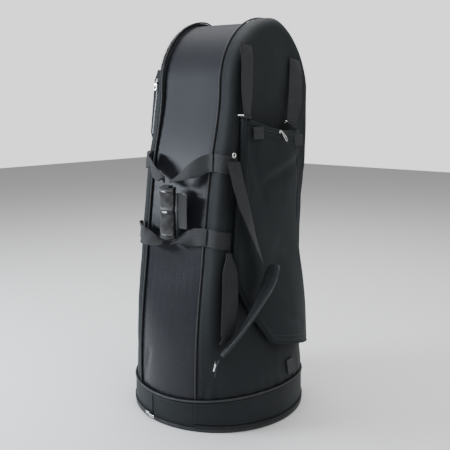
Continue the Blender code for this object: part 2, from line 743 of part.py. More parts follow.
def make_back_pocket():
    """Wedge-shaped flat pocket with a zip opening along its -X side."""
    slit_rows = (2, 6)
    bm = bmesh.new()
    layers = [[[bm.verts.new(p) for p in row] for row in pocket_ribs(shrink)] for shrink in (0.0, POCKET_WALL)]
    for rows in layers:
        for i in range(len(rows) - 1):
            for j in range(8):
                if j == 6 and slit_rows[0] <= i < slit_rows[1]:
                    continue
                n = (j + 1) % 8
                bm.faces.new((rows[i][j], rows[i][n], rows[i + 1][n], rows[i + 1][j]))
        bm.faces.new(rows[0])
        bm.faces.new(rows[-1])
    outer, inner = ([row[6:8] for row in rows[slit_rows[0]:slit_rows[1] + 1]] for rows in layers)
    for side in (0, 1):
        wall(bm, [pair[side] for pair in outer], [pair[side] for pair in inner])
    for end in (0, -1):
        wall(bm, outer[end], inner[end])
    finish_mesh("back_pocket_body", bm, "nylon_fabric")

    top = slit_point(SLIT_Z[1] - 0.004)
    run = (slit_point(SLIT_Z[0]) - top).normalized()
    slider_at = top + Vector((-GAP - 0.0006, 0.0, 0.0))
    slider = zip_slider("back_zip_slider", slider_at, run, (-1, 0, -0.15), (0.012, 0.009, 0.004))
    set_pivot(slider, slider_at)
    zip_pull("back_zip_pull", slider_at + Vector((-0.0058, 0.0, 0.0)), run, (-1, 0, 0), length=0.022, width=0.012)


# ---------------------------------------------------------------- carry handle on the satin band

GRIP_CENTRE = (-0.172, 0.000, 0.480)
GRIP_HALF_Z = 0.056
GRIP_W = 0.042
GRIP_T = 0.026


def grip_section(z, width, depth, steps=16):
    """Oval section of the grip at height z."""
    return [
        (GRIP_CENTRE[0] + depth / 2 * cos(2 * pi * k / steps), GRIP_CENTRE[1] + width / 2 * sin(2 * pi * k / steps), z)
        for k in range(steps)
    ]


def make_grip():
    """Vinyl wrap round the bundled webbing runs, with its closing flap."""
    z_low = GRIP_CENTRE[2] - GRIP_HALF_Z
    z_high = GRIP_CENTRE[2] + GRIP_HALF_Z
    wall_t = 0.003
    bm = bmesh.new()
    levels = 5
    rings = []
    for shrink in (0.0, 2 * wall_t):
        rows = []
        for k in range(levels):
            z = z_low + (z_high - z_low) * k / (levels - 1)
            waist = 1.0 - 0.10 * sin(pi * k / (levels - 1))
            rows.append([bm.verts.new(p) for p in grip_section(z, GRIP_W * waist - shrink, GRIP_T * waist - shrink)])
        rings.append(rows)
        grid_faces(bm, rows, close_cols=True)
    for end in (0, -1):
        for k in range(16):
            n = (k + 1) % 16
            bm.faces.new((rings[0][end][k], rings[0][end][n], rings[1][end][n], rings[1][end][k]))
    finish_mesh("grip_wrap", bm, "vinyl")

    core_w = GRIP_W * 0.90 - 2 * wall_t - 2 * GAP
    core_t = GRIP_T * 0.90 - 2 * wall_t - 2 * GAP
    swept("grip_webbing_core", [
        grip_section(z, core_w, core_t, steps=10) for z in (z_low - 0.004, z_low + 0.03, z_high - 0.03, z_high + 0.004)
    ], "webbing")

    flap_x = GRIP_CENTRE[0] + 0.004
    y_hinge = -GRIP_W / 2 - 0.0012
    flap = block("grip_flap", (flap_x, y_hinge - 0.030, z_low + 0.024), (flap_x + 0.002, y_hinge, z_high - 0.012),
                 "vinyl", bevel=0.0006)
    set_pivot(flap, (flap_x + 0.001, y_hinge, GRIP_CENTRE[2]))


def make_handle_arms():
    """Four webbing arms from the case's edges to the two ends of the grip."""
    z_high = GRIP_CENTRE[2] + GRIP_HALF_Z + 0.008
    z_low = GRIP_CENTRE[2] - GRIP_HALF_Z - 0.008
    x_grip = GRIP_CENTRE[0]
    arms = {
        "handle_arm_front_upper": (
            ((-0.1345, -0.082, 0.590), (-0.146, -0.060, 0.577), (-0.160, -0.032, 0.561), (x_grip, -0.008, z_high + 0.004)),
            ((0.16, 0, 1), (0.25, 0, 1), (0.8, 0.1, 0.9), (1, 0.2, 0.4)),
        ),
        "handle_arm_front_lower": (
            ((-0.1575, -0.083, 0.433), (-0.161, -0.062, 0.431), (-0.167, -0.036, 0.426), (x_grip, -0.010, z_low - 0.004)),
            ((0.13, 0, 1), (0.15, 0, 1), (0.7, 0.1, 0.7), (1, 0.1, 0.2)),
        ),
        "handle_arm_back_upper": (
            ((-0.1425, 0.078, 0.588), (-0.154, 0.068, 0.579), (-0.165, 0.044, 0.563), (x_grip, 0.012, z_high + 0.005)),
            ((0.16, 0.20, 1), (0.2, 0.5, 1), (0.3, 0.8, 1), (0.3, 1, 0.3)),
        ),
        "handle_arm_back_lower": (
            ((-0.1630, 0.085, 0.434), (-0.177, 0.084, 0.425), (-0.184, 0.056, 0.412), (x_grip, 0.012, z_low - 0.006)),
            ((0.13, 0.1, 1), (0.4, 0.5, 1), (0.6, 0.5, 0.8), (1, 0.3, 0.2)),
        ),
    }
    for name, (route, across) in arms.items():
        strap(name, route, across, width=lambda u: WEBBING_W * (1.0 - 0.55 * smooth((u - 0.45) / 0.55)), steps=3)


def make_handle_patches():
    """Where the arms wrap the shells' edges and are sewn down."""
    def wrap(name, z, face, lift=0.0032):
        x = spline(LEFT_SIDE, z)
        depth, radius = edge_size(face, z)
        start = face * min(BAND_HALF + 0.0112, depth - radius - 0.004)
        route = [(x - lift, start, z)]
        for k in range(4):
            angle = k / 3 * pi / 2
            reach = radius + lift
            route.append((x + radius - reach * cos(angle), face * (depth - radius + reach * sin(angle)), z - 0.002 * k))
        route.append((x + radius + 0.006, face * (depth + lift), z - 0.007))
        strap(name, route, ((0.14, 0, 1),) * len(route), steps=1)

    wrap("handle_patch_front_upper", 0.590, -1.0)
    wrap("handle_patch_front_lower", 0.432, -1.0)
    wrap("handle_patch_back_upper", 0.590, 1.0, lift=0.0045)
    wrap("handle_patch_back_lower", 0.430, 1.0, lift=0.0052)


# ---------------------------------------------------------------- shoulder strap

RING_TOP = (-0.113, -0.138, 0.607)
RING_TOP_R = 0.0048
SHOULDER_PIVOT = (-0.1365, -0.1410, 0.594)   # on the line through both rings that the strap swings about
PAD_ROUTE = ((-0.050, -0.200, 0.372), (-0.071, -0.199, 0.333), (-0.097, -0.193, 0.293), (-0.125, -0.184, 0.254),
             (-0.152, -0.171, 0.219), (-0.178, -0.157, 0.190))
PAD_ACROSS = ((0.5, 0.85, 0), (0.5, 0.85, 0), (0.6, 0.75, -0.15), (0.7, 0.65, -0.25), (0.745, 0.6, -0.33),
              (0.745, 0.6, -0.33))
UPPER_ROUTE = ((-0.118, -0.141, 0.594), (-0.119, -0.152, 0.556), (-0.116, -0.167, 0.506), (-0.098, -0.179, 0.440),
               (-0.071, -0.1855, 0.372))
UPPER_ACROSS = ((1, 0, 0.1), (1, 0, 0.1), (1, 0.05, 0.1), (0.9, 0.3, 0), (0.77, 0.63, -0.1))
RETURN_ROUTE = ((-0.1345, -0.142, 0.402), (-0.143, -0.152, 0.350), (-0.154, -0.160, 0.290), (-0.167, -0.163, 0.238),
                (-0.1815, -0.1580, 0.215))
RETURN_ACROSS = ((1, -0.2, 0), (0.95, -0.35, 0), (0.9, -0.4, 0), (0.95, -0.1, 0.1), (0.95, 0.1, 0.1))
TAIL_ROUTE = ((-0.1815, -0.1550, 0.1840), (-0.1865, -0.1510, 0.1700), (-0.1890, -0.1485, 0.1500))
TAIL_ACROSS = (0.76, 0.62, -0.2)
TAIL_W = 0.026


def return_width(share):
    """The return webbing is gathered at its sewn end and at its buckled end."""
    return mix(0.015, WEBBING_W, smooth(share / 0.22)) - 0.014 * smooth((share - 0.72) / 0.28)


def upper_width(share):
    """The upper webbing folds narrower towards the pad."""
    return mix(WEBBING_W, 0.022, smooth((share - 0.35) / 0.65))


def make_shoulder_strap():
    upper = strap("shoulder_webbing_upper", UPPER_ROUTE, UPPER_ACROSS, width=upper_width, steps=3)

    path = catmull(PAD_ROUTE, 3)
    sides = [v.normalized() for v in catmull(PAD_ACROSS, 3)]
    sections = []
    for k, point in enumerate(path):
        u = k / (len(path) - 1)
        ahead = (path[min(k + 1, len(path) - 1)] - path[max(k - 1, 0)]).normalized()
        side = (sides[k] - ahead * sides[k].dot(ahead)).normalized()
        out = ahead.cross(side)
        end = min(1.0, sqrt(max(0.0, 1 - (2 * u - 1) ** 6)) + 0.35)
        half_w = 0.026 * end
        half_t = 0.006 * (0.6 + 0.4 * end)
        sections.append([
            point + side * half_w * cx + out * half_t * cy
            for cx, cy in ((1, -0.4), (1, 0.4), (0.85, 1), (-0.85, 1), (-1, 0.4), (-1, -0.4), (-0.85, -1), (0.85, -1))
        ])
    pad = swept("shoulder_pad", sections, "nylon_fabric")

    tail = strap("shoulder_webbing_tail", TAIL_ROUTE, (TAIL_ACROSS,) * 3, width=TAIL_W, steps=2)
    back_run = strap("shoulder_webbing_return", RETURN_ROUTE, RETURN_ACROSS, width=return_width, steps=3)
    for piece in (upper, pad, tail, back_run):
        set_pivot(piece, SHOULDER_PIVOT)


def make_anchor_ring():
    """Small ring that the shoulder strap's upper end hangs from."""
    path = []
    for k in range(12):
        angle = 2 * pi * k / 12
        path.append((RING_TOP[0] + RING_TOP_R * cos(angle), RING_TOP[1], RING_TOP[2] + RING_TOP_R * sin(angle)))
    tube("shoulder_ring_upper", path, 0.0014, "steel", normal=(0, 1, 0), closed=True)


ADJUSTER_SIZE = (0.032, 0.015)


def make_adjuster():
    """Slide frame that the webbing's tail runs through, below the pad."""
    top, low = Vector(TAIL_ROUTE[0]), Vector(TAIL_ROUTE[2])
    down = (low - top).normalized()
    across = Vector(TAIL_ACROSS)
    across = (across - down * across.dot(down)).normalized()
    out = down.cross(across)
    out = out if out.x < 0 else -out
    centre = Vector(TAIL_ROUTE[1]) + out * (WEBBING_T / 2 + METAL_WIRE_R + 0.0012)
    width, height = ADJUSTER_SIZE
    rect_ring("shoulder_adjuster", centre - down * height / 2, across, down, width=width, height=height)


def make_lower_tab():
    """Sewn webbing loop under the pouch."""
    x = 0.020
    route = []
    for z in (0.134, 0.118, 0.102):
        route.append((x, face_depth(x, z, -1.0, 0.0) - 0.0045, z))
    strap("lower_tab", route, ((0.99, 0.12, 0),) * 3, width=0.030, steps=2)


def main():
    for old in list(bpy.data.objects):
        bpy.data.objects.remove(old, do_unlink=True)
    make_body()
    make_drum()
    make_base_lid()
    make_base_zip()
    make_pouch()
    make_pouch_flap()
    make_pouch_zip()
    make_pouch_tabs()
    make_front_straps()
    make_back_pocket()
    make_grip()
    make_handle_arms()
    make_handle_patches()
    make_shoulder_strap()
    make_anchor_ring()
    make_adjuster()
    make_lower_tab()


main()
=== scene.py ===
"""Looks of the tall padded carry case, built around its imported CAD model.

Frame, in metres: the origin is the centre of the drum's underside, +Z is up, -Y is the front with
the pouch and -X is the satin side with the carry handle. Each soft piece repeats the surface of the
CAD solid that it replaces, with the folds, seams, stitches and hems of the sewn piece.
"""
import json
from math import asin, atan2, cos, exp, hypot, pi, radians, sin, sqrt

import bmesh
import bpy
import numpy as np
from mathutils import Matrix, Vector, noise

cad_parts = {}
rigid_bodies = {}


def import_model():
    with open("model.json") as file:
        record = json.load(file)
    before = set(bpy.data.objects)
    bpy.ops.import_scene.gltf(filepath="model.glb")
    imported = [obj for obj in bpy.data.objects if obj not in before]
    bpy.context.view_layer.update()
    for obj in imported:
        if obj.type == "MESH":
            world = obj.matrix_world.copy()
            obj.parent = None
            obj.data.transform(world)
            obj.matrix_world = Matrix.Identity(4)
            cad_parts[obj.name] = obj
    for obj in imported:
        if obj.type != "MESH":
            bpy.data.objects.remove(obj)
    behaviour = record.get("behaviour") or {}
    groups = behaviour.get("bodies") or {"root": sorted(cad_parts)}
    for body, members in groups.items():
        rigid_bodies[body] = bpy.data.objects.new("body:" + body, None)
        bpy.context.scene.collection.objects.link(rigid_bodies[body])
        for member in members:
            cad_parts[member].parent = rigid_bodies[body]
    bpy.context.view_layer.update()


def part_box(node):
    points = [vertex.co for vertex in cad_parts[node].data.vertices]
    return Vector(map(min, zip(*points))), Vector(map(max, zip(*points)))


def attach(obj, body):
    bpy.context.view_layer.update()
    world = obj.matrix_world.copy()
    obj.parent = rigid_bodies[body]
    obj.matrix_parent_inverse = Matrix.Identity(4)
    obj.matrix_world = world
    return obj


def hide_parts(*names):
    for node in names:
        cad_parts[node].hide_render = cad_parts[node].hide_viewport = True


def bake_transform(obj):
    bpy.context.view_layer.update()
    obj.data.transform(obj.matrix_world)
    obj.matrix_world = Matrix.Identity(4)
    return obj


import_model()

# ---------------------------------------------------------------- sizes, the same as the CAD model's
GAP = 0.0004
DRUM_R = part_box("drum_wall")[1].y
RIM_LOW = 0.067
RIM_RISE = 0.018
BODY_LOW_R = 0.200
FLARE_TOP = 0.38
FRONT_Y = 0.130
BACK_Y = 0.105
BACK_BULGE = 0.008
BAND_HALF = 0.085
FRONT_EDGE_R = 0.022
BACK_EDGE_R = 0.017
SPRING_Z = 0.750
APEX_X = 0.055
ARCH_RISE = 0.156
BODY_LOW_Z = 0.0645
LEFT_SIDE = ((BODY_LOW_Z, -0.178), (0.32, -0.161), (0.56, -0.131), (SPRING_Z, -0.097))
RIGHT_SIDE = ((BODY_LOW_Z, 0.178), (0.42, 0.171), (0.60, 0.188), (SPRING_Z, 0.186))
RIGHT_SLACK = 1.25
SHELL_T = 0.004
PADDING_T = 0.007
SIDE_ROWS = 11
ARCH_ROWS = 12
LAST_ROW = 2 * SIDE_ROWS + ARCH_ROWS
WEBBING_W = 0.038
WEBBING_T = 0.0024
HINGE_AZIMUTH = radians(-82.0)
HINGE_HALF = radians(16.0)

# ---------------------------------------------------------------- small maths


def smooth(t):
    """Ease from 0 to 1."""
    t = min(1.0, max(0.0, t))
    return t * t * (3.0 - 2.0 * t)


def mix(a, b, t):
    return a + (b - a) * t


def bell(distance, width):
    """1 at no distance, falling off smoothly over width."""
    return exp(-(distance / width) ** 2)


def power(value, exponent):
    """Power that keeps the sign."""
    return abs(value) ** exponent * (1 if value >= 0 else -1)


def ripple(p, scale, seed=0.0):
    """Smooth noise of a point; scale is one number or one for each axis."""
    sx, sy, sz = scale if isinstance(scale, tuple) else (scale, scale, scale)
    return noise.noise(Vector((p[0] * sx + seed, p[1] * sy - seed, p[2] * sz + 0.5 * seed)))


def spline(points, t, end_slope=None):
    """Smooth curve value through a few (t, value) points."""
    for k in range(len(points) - 1):
        if t <= points[k + 1][0] or k == len(points) - 2:
            break

    def slope(i):
        if i == len(points) - 1 and end_slope is not None:
            return end_slope
        low = max(i - 1, 0)
        high = min(i + 1, len(points) - 1)
        return (points[high][1] - points[low][1]) / (points[high][0] - points[low][0])

    t0, v0 = points[k]
    t1, v1 = points[k + 1]
    span = t1 - t0
    u = (t - t0) / span
    return (
        v0 * (2 * u**3 - 3 * u**2 + 1)
        + v1 * (3 * u**2 - 2 * u**3)
        + slope(k) * span * (u**3 - 2 * u**2 + u)
        + slope(k + 1) * span * (u**3 - u**2)
    )


def catmull(points, steps):
    """Smooth run of vectors through control vectors, with steps spans between each pair."""
    pts = [Vector(p) for p in points]
    out = []
    for k in range(len(pts) - 1):
        before = pts[k - 1] if k else 2 * pts[0] - pts[1]
        after = pts[k + 2] if k + 2 < len(pts) else 2 * pts[-1] - pts[-2]
        for i in range(steps):
            u = i / steps
            out.append(0.5 * (
                2 * pts[k] + (pts[k + 1] - before) * u
                + (2 * before - 5 * pts[k] + 4 * pts[k + 1] - after) * u**2
                + (3 * pts[k] - before - 3 * pts[k + 1] + after) * u**3
            ))
    out.append(pts[-1])
    return out


def heading(path, k):
    """Direction of an open path at one of its points."""
    return (path[min(k + 1, len(path) - 1)] - path[max(k - 1, 0)]).normalized()


def resample(path, spacing):
    """Points at even spacing along a path."""
    path = [Vector(p) for p in path]
    out = [path[0].copy()]
    travelled = 0.0
    target = spacing
    for a, b in zip(path, path[1:]):
        length = (b - a).length
        while length > 0 and travelled + length >= target:
            out.append(a.lerp(b, (target - travelled) / length))
            target += spacing
        travelled += length
    return out


# ---------------------------------------------------------------- the arched body's surface


def rim_height(azimuth):
    return RIM_LOW + RIM_RISE * max(0.0, cos(azimuth)) ** 2


def flare(z):
    return 1.0 - smooth((z - 0.07) / (FLARE_TOP - 0.07))


def band_recess(z):
    return 0.002 + 0.006 * smooth((z - 0.55) / 0.3)


def row_outline(row, inset, y):
    """Point (x, z) of the side outline on one row, which may be a fraction, and which side it is on."""
    if row <= SIDE_ROWS or row >= SIDE_ROWS + ARCH_ROWS:
        left = row <= SIDE_ROWS
        k = row if left else LAST_ROW - row
        z = BODY_LOW_Z + (SPRING_Z - BODY_LOW_Z) * k / SIDE_ROWS
        if left:
            return spline(LEFT_SIDE, z, 0.0) + inset, z, -1.0
        return spline(RIGHT_SIDE, z, 0.0) - inset, z, 1.0
    turn = pi * (row - SIDE_ROWS) / ARCH_ROWS
    rise = ARCH_RISE - 0.003 + 0.02 * y - inset
    if turn < pi / 2:
        return APEX_X - (APEX_X - LEFT_SIDE[-1][1] - inset) * cos(turn), SPRING_Z + rise * sin(turn), -1.0
    reach = RIGHT_SIDE[-1][1] - APEX_X - inset
    return APEX_X + reach * abs(cos(turn)) ** RIGHT_SLACK, SPRING_Z + rise * sin(turn) ** RIGHT_SLACK, 1.0


def spine(z):
    return APEX_X * smooth((z - 0.10) / (SPRING_Z - 0.10)), min(z, SPRING_Z)


def settle(x, y, z):
    """Drop the lowest rows onto the drum's rim."""
    rise = rim_height(atan2(x, -y)) - RIM_LOW
    return x, y, z + rise * (1.0 - smooth((z - BODY_LOW_Z) / 0.14))


def side_point(row, y, inset):
    x, z, hand = row_outline(row, inset, y)
    w = flare(z) if z < SPRING_Z else 0.0
    round_x = hand * sqrt((BODY_LOW_R - inset) ** 2 - y * y)
    return settle((1 - w) * x + w * round_x, y, z)


def edge_size(face, z):
    """Depth of a face and the radius of its rounded edge, at height z; face is -1 front, +1 back."""
    if face < 0:
        return FRONT_Y, FRONT_EDGE_R
    return BACK_Y + BACK_BULGE * smooth((0.80 - z) / 0.20), BACK_EDGE_R


def edge_point(row, face, turn, inset):
    depth, radius = edge_size(face, row_outline(row, 0.0, 0.0)[1])
    angle = turn * pi / 2
    y = face * (depth - radius + (radius - inset) * sin(angle))
    x, z, hand = row_outline(row, radius - (radius - inset) * cos(angle), y)
    w = flare(z) if z < SPRING_Z else 0.0
    low_r = BODY_LOW_R - inset
    x_face = row_outline(row, radius, y)[0]
    start = asin((depth - radius) / low_r)
    end = pi / 2 - asin(min(1.0, abs(x_face) / low_r))
    spread = start + (end - start) * turn
    return settle(
        (1 - w) * x + w * hand * low_r * cos(spread),
        (1 - w) * y + w * face * low_r * sin(spread),
        z,
    )


def face_depth(x, z, face, inset):
    depth = edge_size(face, z)[0] - inset
    w = flare(z)
    return face * ((1 - w) * depth + w * sqrt(max((BODY_LOW_R - inset) ** 2 - x * x, 0.0)))


def face_point(row, face, across, inset):
    """Point on the front or back face; across is 0 at its rounded edge and 1 on the spine."""
    radius = edge_size(face, 0.0)[1]
    x0, z0, _ = row_outline(row, radius, face * FRONT_Y)
    x1, z1 = spine(z0)
    x = x0 + (x1 - x0) * across
    z = z0 + (z1 - z0) * across
    return settle(x, face_depth(x, z, face, inset), z)


# ---------------------------------------------------------------- materials

MATERIALS = {}


def nodes_for(name, colour, rough, metal=0.0, **extra):
    """New Principled material; extra sets its other sockets, with _ for a space."""
    made = bpy.data.materials.new(name)
    made.use_nodes = True
    shader = made.node_tree.nodes["Principled BSDF"]
    shader.inputs["Base Color"].default_value = (*colour, 1.0)
    shader.inputs["Roughness"].default_value = rough
    shader.inputs["Metallic"].default_value = metal
    for key, value in extra.items():
        shader.inputs[key.replace("_", " ")].default_value = value
    MATERIALS[name] = made
    return made.node_tree, shader


def add(tree, kind, settings=None, **inputs):
    """Node of one kind; inputs take a value or another node's socket. Keys of the form i0 are positions."""
    node = tree.nodes.new("ShaderNode" + kind)
    for key, value in (settings or {}).items():
        setattr(node, key, value)
    for key, value in inputs.items():
        socket = node.inputs[int(key[1:])] if key[0] == "i" and key[1:].isdigit() else node.inputs[key]
        if isinstance(value, bpy.types.NodeSocket):
            tree.links.new(value, socket)
        else:
            socket.default_value = value
    return node


def calc(tree, operation, a, b=0.0):
    return add(tree, "Math", {"operation": operation}, i0=a, i1=b).outputs[0]


def thread_axes(tree):
    """Metres across and along the cloth, from the piece's own UV map."""
    uv = add(tree, "UVMap", {"uv_map": "cloth"})
    split = add(tree, "SeparateXYZ", Vector=uv.outputs["UV"])
    return split.outputs["X"], split.outputs["Y"]


def waves(tree, coordinate, pitch):
    """Sine ridges of one pitch in metres, from 0 to 1."""
    turned = calc(tree, "SINE", calc(tree, "MULTIPLY", coordinate, 2 * pi / pitch))
    return calc(tree, "ADD", calc(tree, "MULTIPLY", turned, 0.5), 0.5)


def place_noise(tree, scale, detail=3.0, rough=0.5):
    """Noise fixed to the object's own coordinates."""
    where = add(tree, "TexCoord")
    return add(tree, "TexNoise", Vector=where.outputs["Object"], Scale=scale, Detail=detail,
               Roughness=rough).outputs["Fac"]


def blend_colours(tree, shader, factor, dark, light):
    ramp = add(tree, "ValToRGB", Fac=factor)
    ramp.color_ramp.elements[0].position = 0.3
    ramp.color_ramp.elements[1].position = 0.7
    ramp.color_ramp.elements[0].color = (*dark, 1.0)
    ramp.color_ramp.elements[1].color = (*light, 1.0)
    tree.links.new(ramp.outputs["Color"], shader.inputs["Base Color"])


def vary_rough(tree, shader, factor, low, high):
    scaled = calc(tree, "ADD", calc(tree, "MULTIPLY", factor, high - low), low)
    tree.links.new(scaled, shader.inputs["Roughness"])


def bump(tree, shader, layers):
    """Stack of (height, distance in metres, strength) bumps."""
    last = None
    for height, distance, strength in layers:
        node = add(tree, "Bump", Height=height, Distance=distance, Strength=strength)
        if last:
            tree.links.new(last, node.inputs["Normal"])
        last = node.outputs["Normal"]
    tree.links.new(last, shader.inputs["Normal"])


def shades(colour, spread):
    return [tuple(c * s for c in colour) for s in (1 - spread, 1 + spread)]


def satin_fabric():
    """Coated satin with a broken diagonal weave, duller towards the top of the case."""
    colour = (0.0120, 0.0134, 0.0175)
    tree, shader = nodes_for("satin_fabric", colour, 0.42, Specular_IOR_Level=0.26, Sheen_Weight=0.02,
                             Sheen_Roughness=0.40)
    shader.inputs["Sheen Tint"].default_value = (0.55, 0.62, 0.80, 1.0)
    across, along = thread_axes(tree)
    zigzag = calc(tree, "PINGPONG", across, 0.010)
    diagonal = waves(tree, calc(tree, "ADD", along, zigzag), 0.0050)
    thread = waves(tree, calc(tree, "SUBTRACT", along, calc(tree, "MULTIPLY", across, 0.7)), 0.0011)
    broad = place_noise(tree, 7.0)
    weave = calc(tree, "ADD", calc(tree, "MULTIPLY", diagonal, 0.55), calc(tree, "MULTIPLY", broad, 0.45))
    blend_colours(tree, shader, weave, *shades(colour, 0.45))
    place_z = add(tree, "SeparateXYZ", Vector=add(tree, "TexCoord").outputs["Object"]).outputs["Z"]
    low_z, high_z = 0.36, 0.72
    low_rough, high_rough = 0.26, 0.60
    worn = add(tree, "MapRange", {"interpolation_type": "SMOOTHSTEP"}, Value=place_z, i1=low_z, i2=high_z,
               i3=low_rough, i4=high_rough)
    uneven = calc(tree, "MULTIPLY", calc(tree, "SUBTRACT", weave, 0.5), 0.08)
    tree.links.new(calc(tree, "ADD", worn.outputs["Result"], uneven), shader.inputs["Roughness"])
    bump(tree, shader, ((diagonal, 0.0002, 0.60), (thread, 0.00006, 0.40), (broad, 0.0010, 0.10)))


def plain_weave(name, colour, rough, pitch, depth, sheen=0.03):
    """Matt plain-woven cloth with a slight mottling."""
    tree, shader = nodes_for(name, colour, rough, Specular_IOR_Level=0.16, Sheen_Weight=sheen,
                             Sheen_Roughness=0.6)
    shader.inputs["Sheen Tint"].default_value = (0.75, 0.85, 0.90, 1.0)
    across, along = thread_axes(tree)
    warp = waves(tree, across, pitch)
    weft = waves(tree, along, pitch)
    cloth = calc(tree, "MULTIPLY", warp, weft)
    mottle = place_noise(tree, 26.0, 5.0, 0.6)
    wear = place_noise(tree, 4.5, 2.0)
    shade = calc(tree, "ADD", calc(tree, "MULTIPLY", cloth, 0.35), calc(tree, "MULTIPLY", mottle, 0.40))
    shade = calc(tree, "ADD", shade, calc(tree, "MULTIPLY", wear, 0.25))
    blend_colours(tree, shader, shade, *shades(colour, 0.22))
    vary_rough(tree, shader, mottle, rough - 0.08, rough + 0.08)
    bump(tree, shader, ((cloth, depth, 0.5), (mottle, 0.0010, 0.20)))


def webbing():
    """Ribbed polyester webbing."""
    colour = (0.0190, 0.0205, 0.0225)
    tree, shader = nodes_for("webbing", colour, 0.58, Specular_IOR_Level=0.28, Sheen_Weight=0.05,
                             Sheen_Roughness=0.5)
    across, along = thread_axes(tree)
    ribs = waves(tree, across, 0.0031)
    chevron = waves(tree, calc(tree, "ADD", along, calc(tree, "PINGPONG", across, 0.00155)), 0.0019)
    wear = place_noise(tree, 30.0, 4.0)
    shade = calc(tree, "ADD", calc(tree, "MULTIPLY", ribs, 0.4), calc(tree, "MULTIPLY", chevron, 0.25))
    shade = calc(tree, "ADD", shade, calc(tree, "MULTIPLY", wear, 0.35))
    blend_colours(tree, shader, shade, *shades(colour, 0.35))
    vary_rough(tree, shader, wear, 0.50, 0.66)
    bump(tree, shader, ((ribs, 0.0004, 0.6), (chevron, 0.00025, 0.6)))


def piping():
    """Bias tape over a cord: fine diagonal threads."""
    colour = (0.0260, 0.0280, 0.0310)
    tree, shader = nodes_for("piping", colour, 0.46, Specular_IOR_Level=0.35, Sheen_Weight=0.04,
                             Sheen_Roughness=0.4)
    across, along = thread_axes(tree)
    twill = waves(tree, calc(tree, "ADD", along, across), 0.0012)
    rub = place_noise(tree, 60.0, 4.0)
    blend_colours(tree, shader, rub, *shades(colour, 0.35))
    vary_rough(tree, shader, rub, 0.38, 0.56)
    bump(tree, shader, ((twill, 0.0002, 0.5), (rub, 0.0006, 0.25)))


def vinyl():
    """Glossy grained vinyl, creased where it folds."""
    colour = (0.0095, 0.0105, 0.0130)
    tree, shader = nodes_for("vinyl", colour, 0.22, Specular_IOR_Level=0.80, Coat_Weight=0.50,
                             Coat_Roughness=0.16)
    where = add(tree, "TexCoord")
    grain = add(tree, "TexVoronoi", Vector=where.outputs["Object"], Scale=900.0).outputs["Distance"]
    crease = place_noise(tree, 90.0, 5.0, 0.65)
    rub = place_noise(tree, 22.0, 3.0)
    blend_colours(tree, shader, rub, *shades(colour, 0.3))
    vary_rough(tree, shader, crease, 0.14, 0.30)
    bump(tree, shader, ((grain, 0.00012, 0.35), (crease, 0.0004, 0.30)))


def thread():
    """Sewing thread, a little lighter than the cloth."""
    tree, shader = nodes_for("thread", (0.050, 0.053, 0.058), 0.5, Specular_IOR_Level=0.4)
    twist = place_noise(tree, 1500.0, 2.0)
    blend_colours(tree, shader, twist, *shades((0.050, 0.053, 0.058), 0.3))
    bump(tree, shader, ((twist, 0.0001, 0.4),))


def zip_coil():
    """Nylon zip teeth."""
    tree, shader = nodes_for("zip_coil", (0.012, 0.012, 0.013), 0.36, Specular_IOR_Level=0.5)
    speck = place_noise(tree, 400.0, 2.0)
    blend_colours(tree, shader, speck, *shades((0.012, 0.012, 0.013), 0.25))
    vary_rough(tree, shader, speck, 0.28, 0.46)


def steel():
    """Bright nickel plate with fine scratches."""
    tree, shader = nodes_for("steel", (0.74, 0.735, 0.72), 0.2, 1.0)
    where = add(tree, "TexCoord")
    stretch = add(tree, "Mapping", Vector=where.outputs["Object"], Scale=(1.0, 1.0, 9.0))
    scratch = add(tree, "TexNoise", Vector=stretch.outputs["Vector"], Scale=420.0, Detail=4.0).outputs["Fac"]
    cloud = place_noise(tree, 60.0, 2.0)
    blend_colours(tree, shader, cloud, (0.62, 0.615, 0.60), (0.80, 0.795, 0.78))
    vary_rough(tree, shader, scratch, 0.12, 0.32)
    bump(tree, shader, ((scratch, 0.00008, 0.3),))


def foam_board():
    """Grey pressed fibre board."""
    tree, shader = nodes_for("foam_board", (0.060, 0.058, 0.055), 0.85)
    fibre = place_noise(tree, 300.0, 6.0, 0.7)
    blend_colours(tree, shader, fibre, *shades((0.060, 0.058, 0.055), 0.35))
    bump(tree, shader, ((fibre, 0.0004, 0.5),))


def make_materials():
    satin_fabric()
    plain_weave("nylon_fabric", (0.0170, 0.0200, 0.0218), 0.62, 0.0014, 0.0003)
    plain_weave("pouch_fabric", (0.0150, 0.0185, 0.0203), 0.66, 0.0014, 0.0003)
    plain_weave("lining_fabric", (0.024, 0.024, 0.028), 0.90, 0.0010, 0.0002, sheen=0.20)
    webbing()
    piping()
    vinyl()
    thread()
    zip_coil()
    steel()
    foam_board()


# ---------------------------------------------------------------- mesh building


def arc_uv(points):
    """Metres across (columns) and along (rows) each point of a grid."""
    rows, cols = len(points), len(points[0])
    pts = np.array([[tuple(p) for p in row] for row in points], float)
    u = np.zeros((rows, cols))
    v = np.zeros((rows, cols))
    u[:, 1:] = np.cumsum(np.linalg.norm(np.diff(pts, axis=1), axis=2), axis=1)
    u -= u[:, cols // 2:cols // 2 + 1]
    v[1:, :] = np.cumsum(np.linalg.norm(np.diff(pts, axis=0), axis=2).mean(axis=1))[:, None]
    return u, v


